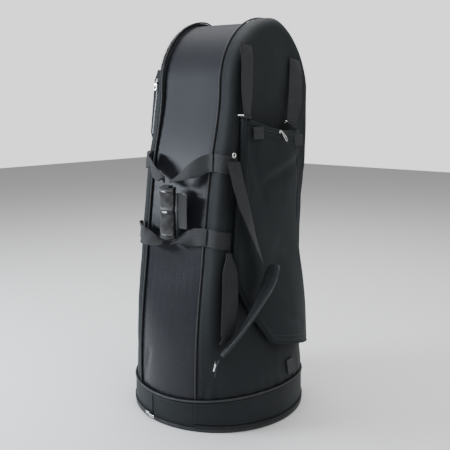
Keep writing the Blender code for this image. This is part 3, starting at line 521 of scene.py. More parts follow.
def mesh_object(name, grids, finish, wrap=False, caps=False, weld=1e-5, sharp=45):
    """Object skinned over one or more grids of points, welded where they meet."""
    bm = bmesh.new()
    cloth = bm.loops.layers.uv.new("cloth")
    for points in grids:
        if wrap:
            points = [list(row) + [row[0]] for row in points]
        u, v = arc_uv(points)
        verts = [[bm.verts.new(p) for p in row] for row in points]
        for i in range(len(points) - 1):
            for j in range(len(points[0]) - 1):
                corners = ((i, j), (i, j + 1), (i + 1, j + 1), (i + 1, j))
                face = bm.faces.new([verts[r][c] for r, c in corners])
                for loop, (r, c) in zip(face.loops, corners):
                    loop[cloth].uv = (u[r][c], v[r][c])
        if caps:
            for i in (0, -1):
                end = verts[i][:-1] if wrap else verts[i]
                face = bm.faces.new(end)
                for loop, c in zip(face.loops, range(len(end))):
                    loop[cloth].uv = (u[i][c], v[i][c])
    bmesh.ops.remove_doubles(bm, verts=bm.verts, dist=weld)
    bmesh.ops.dissolve_degenerate(bm, edges=bm.edges, dist=1e-7)
    bmesh.ops.recalc_face_normals(bm, faces=bm.faces)
    return finish_object(name, bm, finish, sharp)


def finish_object(name, bm, finish, sharp=45):
    mesh = bpy.data.meshes.new(name)
    bm.to_mesh(mesh)
    bm.free()
    mesh.materials.append(MATERIALS[finish])
    mesh.shade_smooth()
    mesh.set_sharp_from_angle(angle=radians(sharp))
    made = bpy.data.objects.new(name, mesh)
    bpy.context.scene.collection.objects.link(made)
    return made


def apply_modifiers(made):
    """Keep the evaluated mesh and drop the modifiers."""
    view = bpy.context.evaluated_depsgraph_get()
    mesh = bpy.data.meshes.new_from_object(made.evaluated_get(view))
    made.modifiers.clear()
    made.data = mesh
    return made


def thicken(made, thickness):
    """Give a one-sided sheet its thickness, on the side away from its normals."""
    solid = made.modifiers.new("thickness", "SOLIDIFY")
    solid.thickness = thickness
    solid.offset = -1.0
    solid.use_quality_normals = True
    return apply_modifiers(made)


def place(made, body, slot, *nodes):
    """Ride on a body and stand for these CAD nodes. The slot argument is not used."""
    if body:
        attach(made, body)
    if nodes:
        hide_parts(*nodes)
    return made


def grid_normals(points):
    """Unit normal at each point of a grid, from its neighbours."""
    pts = np.array([[tuple(p) for p in row] for row in points], float)
    n = np.cross(np.gradient(pts, axis=0), np.gradient(pts, axis=1))
    length = np.linalg.norm(n, axis=2, keepdims=True)
    return pts, n / np.maximum(length, 1e-12)


def displaced(points, height, outward):
    """Grid moved along its normals by height(point); outward(point) tells which way is out."""
    pts, normals = grid_normals(points)
    out = []
    for i in range(pts.shape[0]):
        row = []
        for j in range(pts.shape[1]):
            p = Vector(pts[i, j])
            n = Vector(normals[i, j])
            away = Vector(outward(p))
            if n.length < 0.5:
                n = away.normalized()
            if n.dot(away) < 0:
                n = -n
            row.append(p + n * height(p))
        out.append(row)
    return out


def tube_grid(path, radius, sides=10, normal=(0, 0, 1), closed=False):
    """Sections of a round cord along a path; radius may be a function of the share along it."""
    pts = [Vector(p) for p in path]
    count = len(pts)
    rows = []
    for k, point in enumerate(pts):
        ahead = (pts[(k + 1) % count] - pts[k - 1]).normalized() if closed else heading(pts, k)
        side = Vector(normal).cross(ahead).normalized()
        over = ahead.cross(side)
        r = radius(k / count) if callable(radius) else radius
        rows.append([
            point + r * (cos(2 * pi * i / sides) * side + sin(2 * pi * i / sides) * over)
            for i in range(sides)
        ])
    if closed:
        rows.append(rows[0])
    return rows


def tube(name, path, radius, finish, sides=10, normal=(0, 0, 1), closed=False):
    rows = tube_grid(path, radius, sides, normal, closed)
    return mesh_object(name, [rows], finish, wrap=True, caps=not closed)


STITCH_STEP = 0.0042
STITCH_LENGTH = 0.0030
STITCH_R = 0.00042


def stitch_bodies(bm, path, out_of):
    """A row of stitches along a path; out_of(point) is the cloth's outward direction."""
    points = resample(path, STITCH_STEP)
    for a, b in zip(points, points[1:]):
        ahead = (b - a).normalized()
        out = Vector(out_of(a)).normalized()
        side = out.cross(ahead).normalized()
        out = ahead.cross(side)
        middle = a.lerp(b, 0.5)
        tips = [bm.verts.new(middle + ahead * STITCH_LENGTH / 2 * s - out * STITCH_R * 0.6) for s in (-1, 1)]
        waist = []
        for reach in (-0.55, 0.55):
            centre = middle + ahead * STITCH_LENGTH / 2 * reach
            waist.append([
                bm.verts.new(centre + side * STITCH_R * cx + out * STITCH_R * cy)
                for cx, cy in ((1, 0), (0, 1), (-1, 0), (0, -1))
            ])
        for k in range(4):
            n = (k + 1) % 4
            bm.faces.new((tips[0], waist[0][n], waist[0][k]))
            bm.faces.new((waist[0][k], waist[0][n], waist[1][n], waist[1][k]))
            bm.faces.new((waist[1][k], waist[1][n], tips[1]))


def stitching(name, runs, body, slot):
    """Object of all the stitch rows in runs, each a (path, outward) pair."""
    bm = bmesh.new()
    for path, out_of in runs:
        stitch_bodies(bm, path, out_of)
    bmesh.ops.recalc_face_normals(bm, faces=bm.faces)
    return place(finish_object(name, bm, "thread", 80), body, slot)


# ---------------------------------------------------------------- arched body panels

ROW_STEPS = 8                     # mesh rows for each CAD row
SEAM_PINCH = 0.0016               # how deep the cloth is drawn in at a seam
SEAM_WIDTH = 0.006


def body_out(p):
    """Rough outward direction of the body at a point."""
    centre_x = APEX_X * smooth((p.z - 0.10) / (SPRING_Z - 0.10))
    return (p.x - centre_x, p.y, max(0.0, p.z - SPRING_Z))


def near_band_seam(p):
    return abs(abs(p.y) - BAND_HALF)


def crease(p, start, end, width, depth):
    """Groove along the segment from start to end."""
    a, b = Vector(start), Vector(end)
    along = b - a
    t = (p - a).dot(along) / along.length_squared
    if t < -0.3 or t > 1.3:
        return 0.0
    distance = (p - a - along * t).length
    fade = smooth((t + 0.3) / 0.3) * smooth((1.3 - t) / 0.3)
    return -depth * bell(distance, width) * fade


def band_relief(p):
    """Soft swells of the satin band between its seams."""
    inner = smooth((BAND_HALF - abs(p.y)) / 0.022)
    height = 0.0014 * ripple(p, (7, 11, 6), 3.1) + 0.0002 * ripple(p, (20, 26, 15), 8.4)
    height += 0.0004 * ripple(p, (45, 30, 60), 1.7) * smooth((0.20 - p.z) / 0.12)
    if p.x < APEX_X:
        height += crease(p, (-0.185, 0.052, 0.150), (-0.196, 0.074, 0.078), 0.007, 0.0030)
    pucker = 0.0005 * sin(p.z * 2 * pi / 0.021 + 3 * ripple(p, 30, 5.0)) * bell(near_band_seam(p), 0.016)
    drawn_in = 0.0010 * bell(near_band_seam(p), 0.004)
    return inner * height + pucker * smooth(near_band_seam(p) / 0.004) - drawn_in


def shell_relief(face):
    """Relief of the front or back shell: drawn in at the seams, slack on the face."""
    def height(p):
        depth, radius = edge_size(face, p.z)
        seam = near_band_seam(p)
        free = smooth(seam / 0.012)
        on_face = smooth((abs(p.y) - depth + 0.6 * radius) / (0.8 * radius)) if p.z > 0.36 else 0.6
        slack = 0.0030 * ripple(p, (8, 8, 5), 11.0 + face) + 0.0014 * ripple(p, (18, 18, 12), 4.0 + face)
        tight = 0.0006 * ripple(p, (30, 30, 22), 7.0)
        low = smooth((0.16 - p.z) / 0.09)
        gather = 0.0011 * sin(atan2(p.x, -p.y) * 46 + 5 * ripple(p, 9, 2.0)) * low
        pucker = 0.0005 * sin(p.z * 2 * pi / 0.019 + 4 * ripple(p, 25, 9.0)) * bell(seam, 0.016)
        total = free * (on_face * slack + tight + gather) + pucker * free
        total -= SEAM_PINCH * bell(seam, SEAM_WIDTH)
        if face < 0:
            total += crease(p, (-0.060, -0.130, 0.610), (0.150, -0.130, 0.555), 0.012, 0.0016)
            total += crease(p, (0.158, -0.130, 0.640), (0.166, -0.125, 0.500), 0.008, 0.0018)
        return total
    return height


def panel_grid(piece, inset, steps=ROW_STEPS, fine=1.0):
    """Rows of points over one body panel, from the rim on the left over the crown to the right."""
    rows = []
    for k in range(LAST_ROW * steps + 1):
        row = k / steps
        z = row_outline(row, 0.0, 0.0)[1]
        if piece == "band":
            count = int(28 * fine)
            edge = BAND_HALF - GAP
            rows.append([
                side_point(row, edge * (2 * i / count - 1), inset + band_recess(z)) for i in range(count + 1)
            ])
            continue
        face = -1.0 if piece == "front" else 1.0
        depth, radius = edge_size(face, z)
        strip, turn, flat = (max(2, int(n * fine)) for n in (8, 8, 26))
        start = BAND_HALF + GAP
        line = [side_point(row, face * mix(start, depth - radius, i / strip), inset) for i in range(strip)]
        line += [edge_point(row, face, i / turn, inset) for i in range(turn)]
        line += [face_point(row, face, i / flat, inset) for i in range(flat + 1)]
        rows.append(line)
    return rows


def make_panels():
    """Outer cloth of the three body panels."""
    labels = {"band": "side_band", "front": "front_shell", "back": "back_shell"}
    slots = {"band": "satin_fabric", "front": "nylon_fabric", "back": "nylon_fabric"}
    for piece, label in labels.items():
        relief = band_relief if piece == "band" else shell_relief(-1.0 if piece == "front" else 1.0)
        points = displaced(panel_grid(piece, 0.0), relief, body_out)
        panel = mesh_object(label + "_cloth", [points], slots[piece], weld=3e-4)
        face_outward(panel)
        thicken(panel, SHELL_T)
        place(panel, "case_shell", slots[piece], label)


def face_outward(made):
    """Turn a sheet's normals away from the body's middle."""
    mesh = made.data
    vote = sum(
        polygon.normal.dot(Vector(body_out(polygon.center))) for polygon in list(mesh.polygons)[::37]
    )
    if vote < 0:
        mesh.flip_normals()


QUILT = 0.055                     # spacing of the lining's quilted lines


def quilt_relief(p):
    """Shallow diamonds sewn into the lining, on the side that faces the load."""
    a = sin((p.z + p.y + p.x) * pi / QUILT)
    b = sin((p.z - p.y - p.x) * pi / QUILT)
    return 0.0008 * (1 - bell(a, 0.16)) * (1 - bell(b, 0.16)) - 0.0008


def make_linings():
    """Foam and lining inside each panel."""
    for piece, label in (("band", "side_band"), ("front", "front_shell"), ("back", "back_shell")):
        points = displaced(panel_grid(piece, SHELL_T + 0.0016, steps=3, fine=0.5), quilt_relief, body_out)
        lining = mesh_object(label + "_lining", [points], "lining_fabric", weld=3e-4)
        face_outward(lining)
        thicken(lining, PADDING_T - 0.0012)
        place(lining, "case_shell", "lining_fabric", label + "_padding")


def seam_path(y, inset):
    """Path over the side of the body at one y, from rim to rim."""
    return [Vector(side_point(k / ROW_STEPS, y, inset)) for k in range(LAST_ROW * ROW_STEPS + 1)]


def make_seams():
    """Piping in the two band seams, with two stitch rows on the shells beside each."""
    radius = 0.0021
    for label, y in (("front_seam_piping", -BAND_HALF), ("back_seam_piping", BAND_HALF)):
        path = [p for p in seam_path(y, -0.0008) if p.z > BODY_LOW_Z + 0.006]
        cord = tube(label + "_cord", path, radius, "piping", sides=10, normal=(0, 1, 0))
        place(cord, "case_shell", "piping", label)
    runs = []
    for y in (-1, 1):
        for offset in (0.0075, 0.0105):
            path = seam_path(y * (BAND_HALF + offset), -0.0002)
            runs.append(([p for p in path if p.z > 0.08], body_out))
    stitching("shell_seam_stitching", runs, "case_shell", "piping")


# ---------------------------------------------------------------- drum base


def turned(profile, start, turn, steps, lift=True):
    """Grid of an (r, z) profile about the drum's axis; z may depend on the rim's height there."""
    rows = []
    for k in range(steps + 1):
        azimuth = start + turn * k / steps
        top = rim_height(azimuth) if lift else 0.0
        line = []
        for r, z in profile:
            height = z(top) if callable(z) else z
            line.append(Vector((r * sin(azimuth), -r * cos(azimuth), height)))
        rows.append(line)
    return rows


def drum_swell(p):
    """Slight unevenness of the padded drum wall, none at its seams."""
    share = (p.z - 0.0092) / (RIM_LOW - 0.013)
    free = smooth(4 * share) * smooth(4 * (1 - share))
    return free * (0.0010 * ripple(p, (16, 16, 10), 2.2) + 0.0005 * ripple(p, (40, 40, 25), 6.1)) - 0.0004


def drum_profile(recess=0.0):
    """Section of the wall: inner face, softly rounded top, swelling outer face."""
    wall_in = DRUM_R - 0.0085
    low = 0.0092
    outer = DRUM_R - recess - 0.0004
    profile = [(wall_in, low), (outer - 0.0012, low)]
    for share in (0.03, 0.12, 0.3, 0.5, 0.7, 0.88, 0.97):
        profile.append((outer - 0.0012 * (2 * share - 1) ** 4,
                        lambda top, share=share: low + (top - 0.0046 - low) * share))
    profile += [(outer - 0.0020, lambda top: top - 0.0038), (wall_in, lambda top: top - 0.0038)]
    return profile


def radial(p):
    return (p.x, p.y, 0.0)


def make_drum():
    """Drum wall, the fabric hinge panel let into it, its piping, binding and stitching."""
    seam = radians(0.18)
    full = 2 * pi
    hinge_start = HINGE_AZIMUTH - HINGE_HALF
    hinge_end = HINGE_AZIMUTH + HINGE_HALF
    spans = (
        ("drum_wall", hinge_end + seam, full - 2 * HINGE_HALF - 2 * seam, 260, 0.0, "nylon_fabric"),
        ("lid_hinge_panel", hinge_start, 2 * HINGE_HALF, 36, 0.0013, "nylon_fabric"),
    )
    for label, start, turn, steps, recess, finish in spans:
        rows = turned(drum_profile(recess), start, turn, steps)
        rows = displaced(rows, lambda p: drum_swell(p) if hypot(p.x, p.y) > DRUM_R - 0.004 else 0.0, radial)
        wall = mesh_object(label + "_cloth", [rows], finish, wrap=True, caps=True)
        place(wall, "case_shell", "nylon_fabric", label)

    path = []
    for k in range(192):
        azimuth = 2 * pi * k / 192
        radius = DRUM_R - 0.0016
        path.append((radius * sin(azimuth), -radius * cos(azimuth), rim_height(azimuth) - 0.0003))
    cord = tube("rim_piping_cord", path, 0.0026, "piping", sides=10, closed=True)
    place(cord, "case_shell", "piping", "rim_piping")

    low_r = DRUM_R - 0.0085
    fold = ((-0.0012, 0.0), (0.0003, 0.0006), (0.0010, 0.0022), (0.0009, 0.0048), (0.0008, 0.0072),
            (-0.0002, 0.0086))
    binding = [(low_r, 0.0)] + [(DRUM_R + reach, z) for reach, z in fold] + [(low_r, 0.0088)]
    rows = turned(binding, 0.0, full, 240, lift=False)
    tape = mesh_object("base_binding_tape", [rows], "piping", wrap=True)
    place(tape, "case_shell", "piping", "base_binding")

    def circle(radius, z, start=0.0, turn=full, steps=300):
        line = []
        for k in range(steps + 1):
            azimuth = start + turn * k / steps
            height = z(rim_height(azimuth)) if callable(z) else z
            line.append(Vector((radius * sin(azimuth), -radius * cos(azimuth), height)))
        return line

    runs = [
        (circle(DRUM_R - 0.0002, lambda top: top - 0.0075), radial),
        (circle(DRUM_R + 0.0011, 0.0058), radial),
        (circle(DRUM_R - 0.0004, 0.0200, hinge_end, full - 2 * HINGE_HALF), radial),
    ]
    for side, shift in ((hinge_start, -radians(1.0)), (hinge_end, radians(1.0))):
        azimuth = side + shift
        upright = [
            Vector((DRUM_R * sin(azimuth), -DRUM_R * cos(azimuth), mix(0.018, RIM_LOW - 0.006, k / 10)))
            for k in range(11)
        ]
        runs.append((upright, radial))
    stitching("drum_stitching", runs, "case_shell", "piping")


def box_body(bm, centre, axes, half):
    """Plain box of half sizes along three axes."""
    corners = []
    for sx in (-1, 1):
        for sy in (-1, 1):
            for sz in (-1, 1):
                corners.append(bm.verts.new(
                    centre + axes[0] * half[0] * sx + axes[1] * half[1] * sy + axes[2] * half[2] * sz))
    for quad in ((0, 1, 3, 2), (4, 6, 7, 5), (0, 4, 5, 1), (2, 3, 7, 6), (0, 2, 6, 4), (1, 5, 7, 3)):
        bm.faces.new([corners[i] for i in quad])


def zip_chain(name, path, out_of, width=0.0046):
    """Zip teeth along a path, alternating from side to side."""
    bm = bmesh.new()
    pitch = 0.0021
    points = resample(path, pitch)
    for k in range(1, len(points) - 1):
        ahead = (points[k + 1] - points[k - 1]).normalized()
        out = Vector(out_of(points[k])).normalized()
        side = out.cross(ahead).normalized()
        out = ahead.cross(side)
        shift = side * width * 0.14 * (1 if k % 2 else -1)
        centre = points[k] + shift + out * 0.0005
        box_body(bm, centre, (ahead, side, out), (pitch * 0.36, width * 0.30, 0.0006))
    bmesh.ops.recalc_face_normals(bm, faces=bm.faces)
    return finish_object(name, bm, "zip_coil", 60)


def flat_ribbon(name, path, out_of, width, thickness, finish):
    """Thin tape along a path, lying on the surface whose outward direction is out_of."""
    path = [Vector(p) for p in path]
    rows = []
    for k, point in enumerate(path):
        ahead = heading(path, k)
        out = Vector(out_of(point)).normalized()
        side = out.cross(ahead).normalized()
        out = ahead.cross(side)
        rows.append([
            point + side * width / 2 * cx + out * thickness / 2 * cy
            for cx, cy in ((-1, -1), (1, -1), (1, 0.6), (0.9, 1), (-0.9, 1), (-1, 0.6))
        ])
    return mesh_object(name, [rows], finish, wrap=True, caps=True)


def make_base_zip_and_lid():
    """Zip round the drum's foot, and the lid with its board and pad."""
    start = HINGE_AZIMUTH + HINGE_HALF + radians(1)
    turn = 2 * pi - 2 * HINGE_HALF - radians(2)
    path = []
    for k in range(361):
        azimuth = start + turn * k / 360
        radius = DRUM_R + GAP + 0.0003
        path.append(Vector((radius * sin(azimuth), -radius * cos(azimuth), 0.0127)))
    tape = flat_ribbon("base_zip_tape", path, radial, 0.0072, 0.0006, "nylon_fabric")
    place(tape, "case_shell", "zip_coil", "base_zip_chain")
    place(zip_chain("base_zip_teeth", path, radial), "case_shell", "zip_coil")

    def disc(name, radius, low, high, finish, dome=0.0):
        rows = []
        rings = [(share, low) for share in (0.02, 0.5, 0.985)]
        rings += [(1.0, mix(low, high, 0.25)), (1.0, mix(low, high, 0.75))]
        rings += [(share, high) for share in (0.985, 0.9, 0.7, 0.45, 0.2, 0.02)]
        for share, z in rings:
            level = z + (dome * (1 - share**2) if z == high else 0.0)
            rows.append([
                Vector((share * radius * sin(2 * pi * k / 96), -share * radius * cos(2 * pi * k / 96), level))
                for k in range(96)
            ])
        return mesh_object(name, [rows], finish, wrap=True, caps=True)

    place(disc("base_lid_cloth", DRUM_R - 0.0095, 0.0, 0.0060, "nylon_fabric"), "base_lid",
          "nylon_fabric", "base_lid")
    place(disc("base_lid_stiffener", 0.186, 0.0064, 0.0090, "foam_board"), "base_lid", "foam_board",
          "base_lid_board")
    pad = disc("base_lid_pad", 0.184, 0.0094, 0.0135, "lining_fabric", dome=0.0015)
    place(pad, "base_lid", "lining_fabric", "base_lid_padding")


# ---------------------------------------------------------------- zip sliders, pulls and rings


def slider(name, centre, along, out, size, body, node):
    """Slider body: waisted base plates with a raised bridge for the pull."""
    along = Vector(along).normalized()
    out = Vector(out).normalized()
    side = out.cross(along).normalized()
    centre = Vector(centre)
    length, width, height = size
    rows = []
    for k in range(13):
        t = k / 12
        half = width / 2 * (0.72 + 0.28 * sin(pi * min(1.0, 0.15 + t))) * (0.80 + 0.20 * sin(pi * t))
        rise = height * 0.55 * (0.75 + 0.25 * sin(pi * t))
        middle = centre + along * length * (t - 0.5)
        ring = []
        for j in range(14):
            angle = 2 * pi * j / 14
            level = rise / 2 + rise / 2 * power(sin(angle), 0.5)
            ring.append(middle + side * half * power(cos(angle), 0.5) + out * level)
        rows.append(ring)
    arch = []
    for k in range(11):
        angle = pi * k / 10
        level = height * 0.45 + height * 0.50 * sin(angle)
        arch.append(centre + along * length * 0.34 * cos(angle) + out * level)
    bridge = tube_grid(arch, height * 0.16, 8, side)
    made = mesh_object(name, [rows], "steel", wrap=True, caps=True)
    arm = mesh_object(name + "_bridge", [bridge], "steel", wrap=True, caps=True)
    place(arm, body, "steel")
    return place(made, body, "steel", node)


def pull(name, pivot, down, out, length, width, thickness, body, node):
    """Flat pull tab with rounded edges, a hole near its free end and a waist near its pivot."""
    down = Vector(down).normalized()
    out = Vector(out).normalized()
    side = out.cross(down).normalized()
    out = down.cross(side)
    pivot = Vector(pivot)
    steps = 40
    bm = bmesh.new()
    layers = []
    for level, shrink in ((-0.5, 0.0004), (-0.3, 0.0), (0.3, 0.0), (0.5, 0.0004)):
        outer, inner = [], []
        for k in range(steps):
            angle = 2 * pi * k / steps
            reach = down * (length / 2 + power(cos(angle), 0.8) * (length / 2 - shrink))
            taper = 0.62 + 0.38 * (0.5 + 0.5 * cos(angle))
            across = side * power(sin(angle), 0.75) * (width / 2 * taper * 1.1 - shrink)
            outer.append(bm.verts.new(pivot + reach + across + out * thickness * level))
            hole = down * (length * 0.70 + cos(angle) * (0.0040 + shrink))
            hole += side * sin(angle) * (0.0019 + shrink)
            inner.append(bm.verts.new(pivot + hole + out * thickness * level))
        layers.append((outer, inner))
    for (low_out, low_in), (high_out, high_in) in zip(layers, layers[1:]):
        for a, b in ((low_out, high_out), (high_in, low_in)):
            for k in range(steps):
                n = (k + 1) % steps
                bm.faces.new((a[k], a[n], b[n], b[k]))
    for outer, inner in (layers[0], tuple(reversed(layers[-1]))):
        for k in range(steps):
            n = (k + 1) % steps
            bm.faces.new((inner[k], inner[n], outer[n], outer[k]))
    bmesh.ops.recalc_face_normals(bm, faces=bm.faces)
    return place(finish_object(name, bm, "steel", 50), body, "steel", node)


def wire_loop(centre, across, down, width, height, corner):
    """Rounded rectangle of points hanging from the middle of its top bar."""
    arc_steps = 6
    across = Vector(across).normalized()
    down = Vector(down).normalized()
    path = []
    for sx, sy, start in ((1, 0, -90), (1, 1, 0), (-1, 1, 90), (-1, 0, 180)):
        middle = Vector(centre) + across * sx * (width / 2 - corner)
        middle += down * (height * sy + (corner if sy == 0 else -corner))
        for k in range(arc_steps + 1):
            angle = radians(start + 90 * k / arc_steps)
            path.append(middle + across * corner * cos(angle) + down * corner * sin(angle))
    return path


# ---------------------------------------------------------------- webbing


def webbing_sections(centres, across, steps=12, width=WEBBING_W, thickness=WEBBING_T, seed=0.0, slack=0.0006):
    """Sections of a strap whose width lies along the across vectors, with rounded selvedges."""
    path = catmull(centres, steps)
    sides = [v.normalized() for v in catmull(across, steps)]
    rows = []
    for k, point in enumerate(path):
        ahead = heading(path, k)
        side = (sides[k] - ahead * sides[k].dot(ahead)).normalized()
        out = ahead.cross(side)
        share = k / (len(path) - 1)
        half = (width(share) if callable(width) else width) / 2
        row = []
        for i in range(20):
            angle = 2 * pi * i / 20
            cx = power(cos(angle), 0.35)
            cy = power(sin(angle), 0.55)
            bow = slack * ripple(point + side * half * cx, (40, 40, 40), seed) * (1 - (2 * share - 1) ** 6)
            row.append(point + side * half * cx + out * (thickness / 2 * cy + bow))
        rows.append(row)
    return rows


def strap(name, centres, across, body, node, **shape):
    rows = webbing_sections(centres, across, **shape)
    made = mesh_object(name, [rows], "webbing", wrap=True, caps=True)
    return place(made, body, "webbing", *([node] if node else []))


def strap_frame(centres, across, share):
    """Point, length direction, width direction and outward direction at a share of a strap."""
    path = catmull(centres, 24)
    sides = catmull(across, 24)
    k = min(len(path) - 2, max(1, int(share * (len(path) - 1))))
    ahead = (path[k + 1] - path[k - 1]).normalized()
    side = (sides[k] - ahead * sides[k].dot(ahead)).normalized()
    return path[k], ahead, side, ahead.cross(side)


def front_frame(centres, across, share):
    """strap_frame, with its outward direction towards the front."""
    point, ahead, side, out = strap_frame(centres, across, share)
    return point, ahead, side, out if out.y < 0 else -out


def box_stitch(point, ahead, side, out, length, width):
    """Stitch rows of a sewn-down box with its diagonals."""
    a = point - ahead * length / 2
    b = point + ahead * length / 2
    w = side * width / 2
    corners = (a - w, a + w, b + w, b - w)
    lines = ((0, 1), (1, 2), (2, 3), (3, 0), (0, 2), (1, 3))
    return [((corners[i], corners[j]), lambda p, out=out: out) for i, j in lines]


# ---------------------------------------------------------------- front pouch

POUCH_LEVELS = (0.170, 0.260, 0.335, 0.420, 0.560, 0.690)
POUCH_LEFT = tuple(zip(POUCH_LEVELS, (-0.040, -0.086, -0.110, -0.108, -0.092, -0.083)))
POUCH_RIGHT = tuple(zip(POUCH_LEVELS, (0.126, 0.138, 0.136, 0.124, 0.118, 0.112)))
POUCH_LOW = (0.190, 0.150)
POUCH_DEPTH = 0.034
MOUTH_LOW = (0.060, 0.653)
MOUTH_R = 0.36
FLAP_X = (-0.040, 0.036)


def mouth_z(x):
    return MOUTH_LOW[1] + MOUTH_R - sqrt(MOUTH_R**2 - (x - MOUTH_LOW[0]) ** 2)


def pouch_seat(x, z):
    w = flare(z)
    return face_depth(x, z, -1.0, 0.0) - GAP - 0.0006 - 0.022 * w * (1 - w)


def pouch_xz(u, v):
    """Place (x, z) on the pouch's outline; u runs left to right and v from the bottom to the mouth."""
    low = mix(POUCH_LOW[0], POUCH_LOW[1], u)
    nominal = mix(POUCH_LEVELS[0], POUCH_LEVELS[-1], v)
    x = mix(spline(POUCH_LEFT, nominal), spline(POUCH_RIGHT, nominal), u)
    return x, mix(low, mouth_z(x), v)


def pouch_puff(u, v):
    return sqrt(sin(pi * min(1.0, max(0.0, u))) * sin(pi / 2 * min(0.15 + v * 1.4, 1.0)))


def pouch_relief(u, v, x, z):
    """Drape of the pouch's front: a soft belly, a fold across it and slack from the two top corners."""
    inner = smooth(8 * u) * smooth(8 * (1 - u)) * smooth(9 * v)
    drape = 0.0040 * ripple((x, 0, z), (9, 1, 6), 5.5) + 0.0016 * ripple((x, 0, z), (22, 1, 14), 1.2)
    p = Vector((x, 0.0, z))
    fold = crease(p, (-0.020, 0, 0.545), (0.115, 0, 0.590), 0.014, 0.0042)
    fold -= crease(p, (-0.020, 0, 0.568), (0.115, 0, 0.613), 0.014, 0.0022)
    fold += crease(p, (0.100, 0, 0.480), (0.104, 0, 0.630), 0.007, 0.0034)
    fold += crease(p, (-0.070, 0, 0.300), (0.060, 0, 0.215), 0.013, 0.0038)
    fold += crease(p, (-0.084, 0, 0.640), (-0.040, 0, 0.520), 0.012, 0.0026)
    fold += crease(p, (0.030, 0, 0.400), (0.125, 0, 0.330), 0.020, 0.0026)
    return inner * (drape + fold)


def pouch_point(u, v, depth, relief=True):
    x, z = pouch_xz(u, v)
    y = pouch_seat(x, z) - depth * (0.45 + 0.55 * pouch_puff(u, v))
    if relief:
        y -= min(0.0030, pouch_relief(u, v, x, z))
    return Vector((x, y, z))


def pouch_front_y(x):
    u = (x - POUCH_LEFT[-1][1]) / (POUCH_RIGHT[-1][1] - POUCH_LEFT[-1][1])
    return pouch_seat(x, mouth_z(x)) - POUCH_DEPTH * (0.45 + 0.55 * sqrt(sin(pi * min(1.0, max(0.0, u)))))


def pouch_out(p):
    return (0.25 * (p.x - 0.03), -1.0, 0.0)


POUCH_ROWS = 150
POUCH_COLS = 84
POUCH_EDGE = 10                   # rows of the rounded turn from the pouch's front to its side


def pouch_section(v):
    """One level of the pouch: back, rounded left side, front, rounded right side."""
    back = [pouch_point(1.0 - k / 30, v, 0.0, relief=False) for k in range(31)]
    front = [pouch_point(k / POUCH_COLS, v, POUCH_DEPTH) for k in range(POUCH_COLS + 1)]
    left, right = [], []
    for k in range(1, POUCH_EDGE):
        t = k / POUCH_EDGE
        swell = 0.004 * sin(pi * t)
        left.append(back[-1].lerp(front[0], t) - Vector((swell, 0, 0)))
        right.append(front[-1].lerp(back[0], t) + Vector((swell, 0, 0)))
    return back + left + front + right


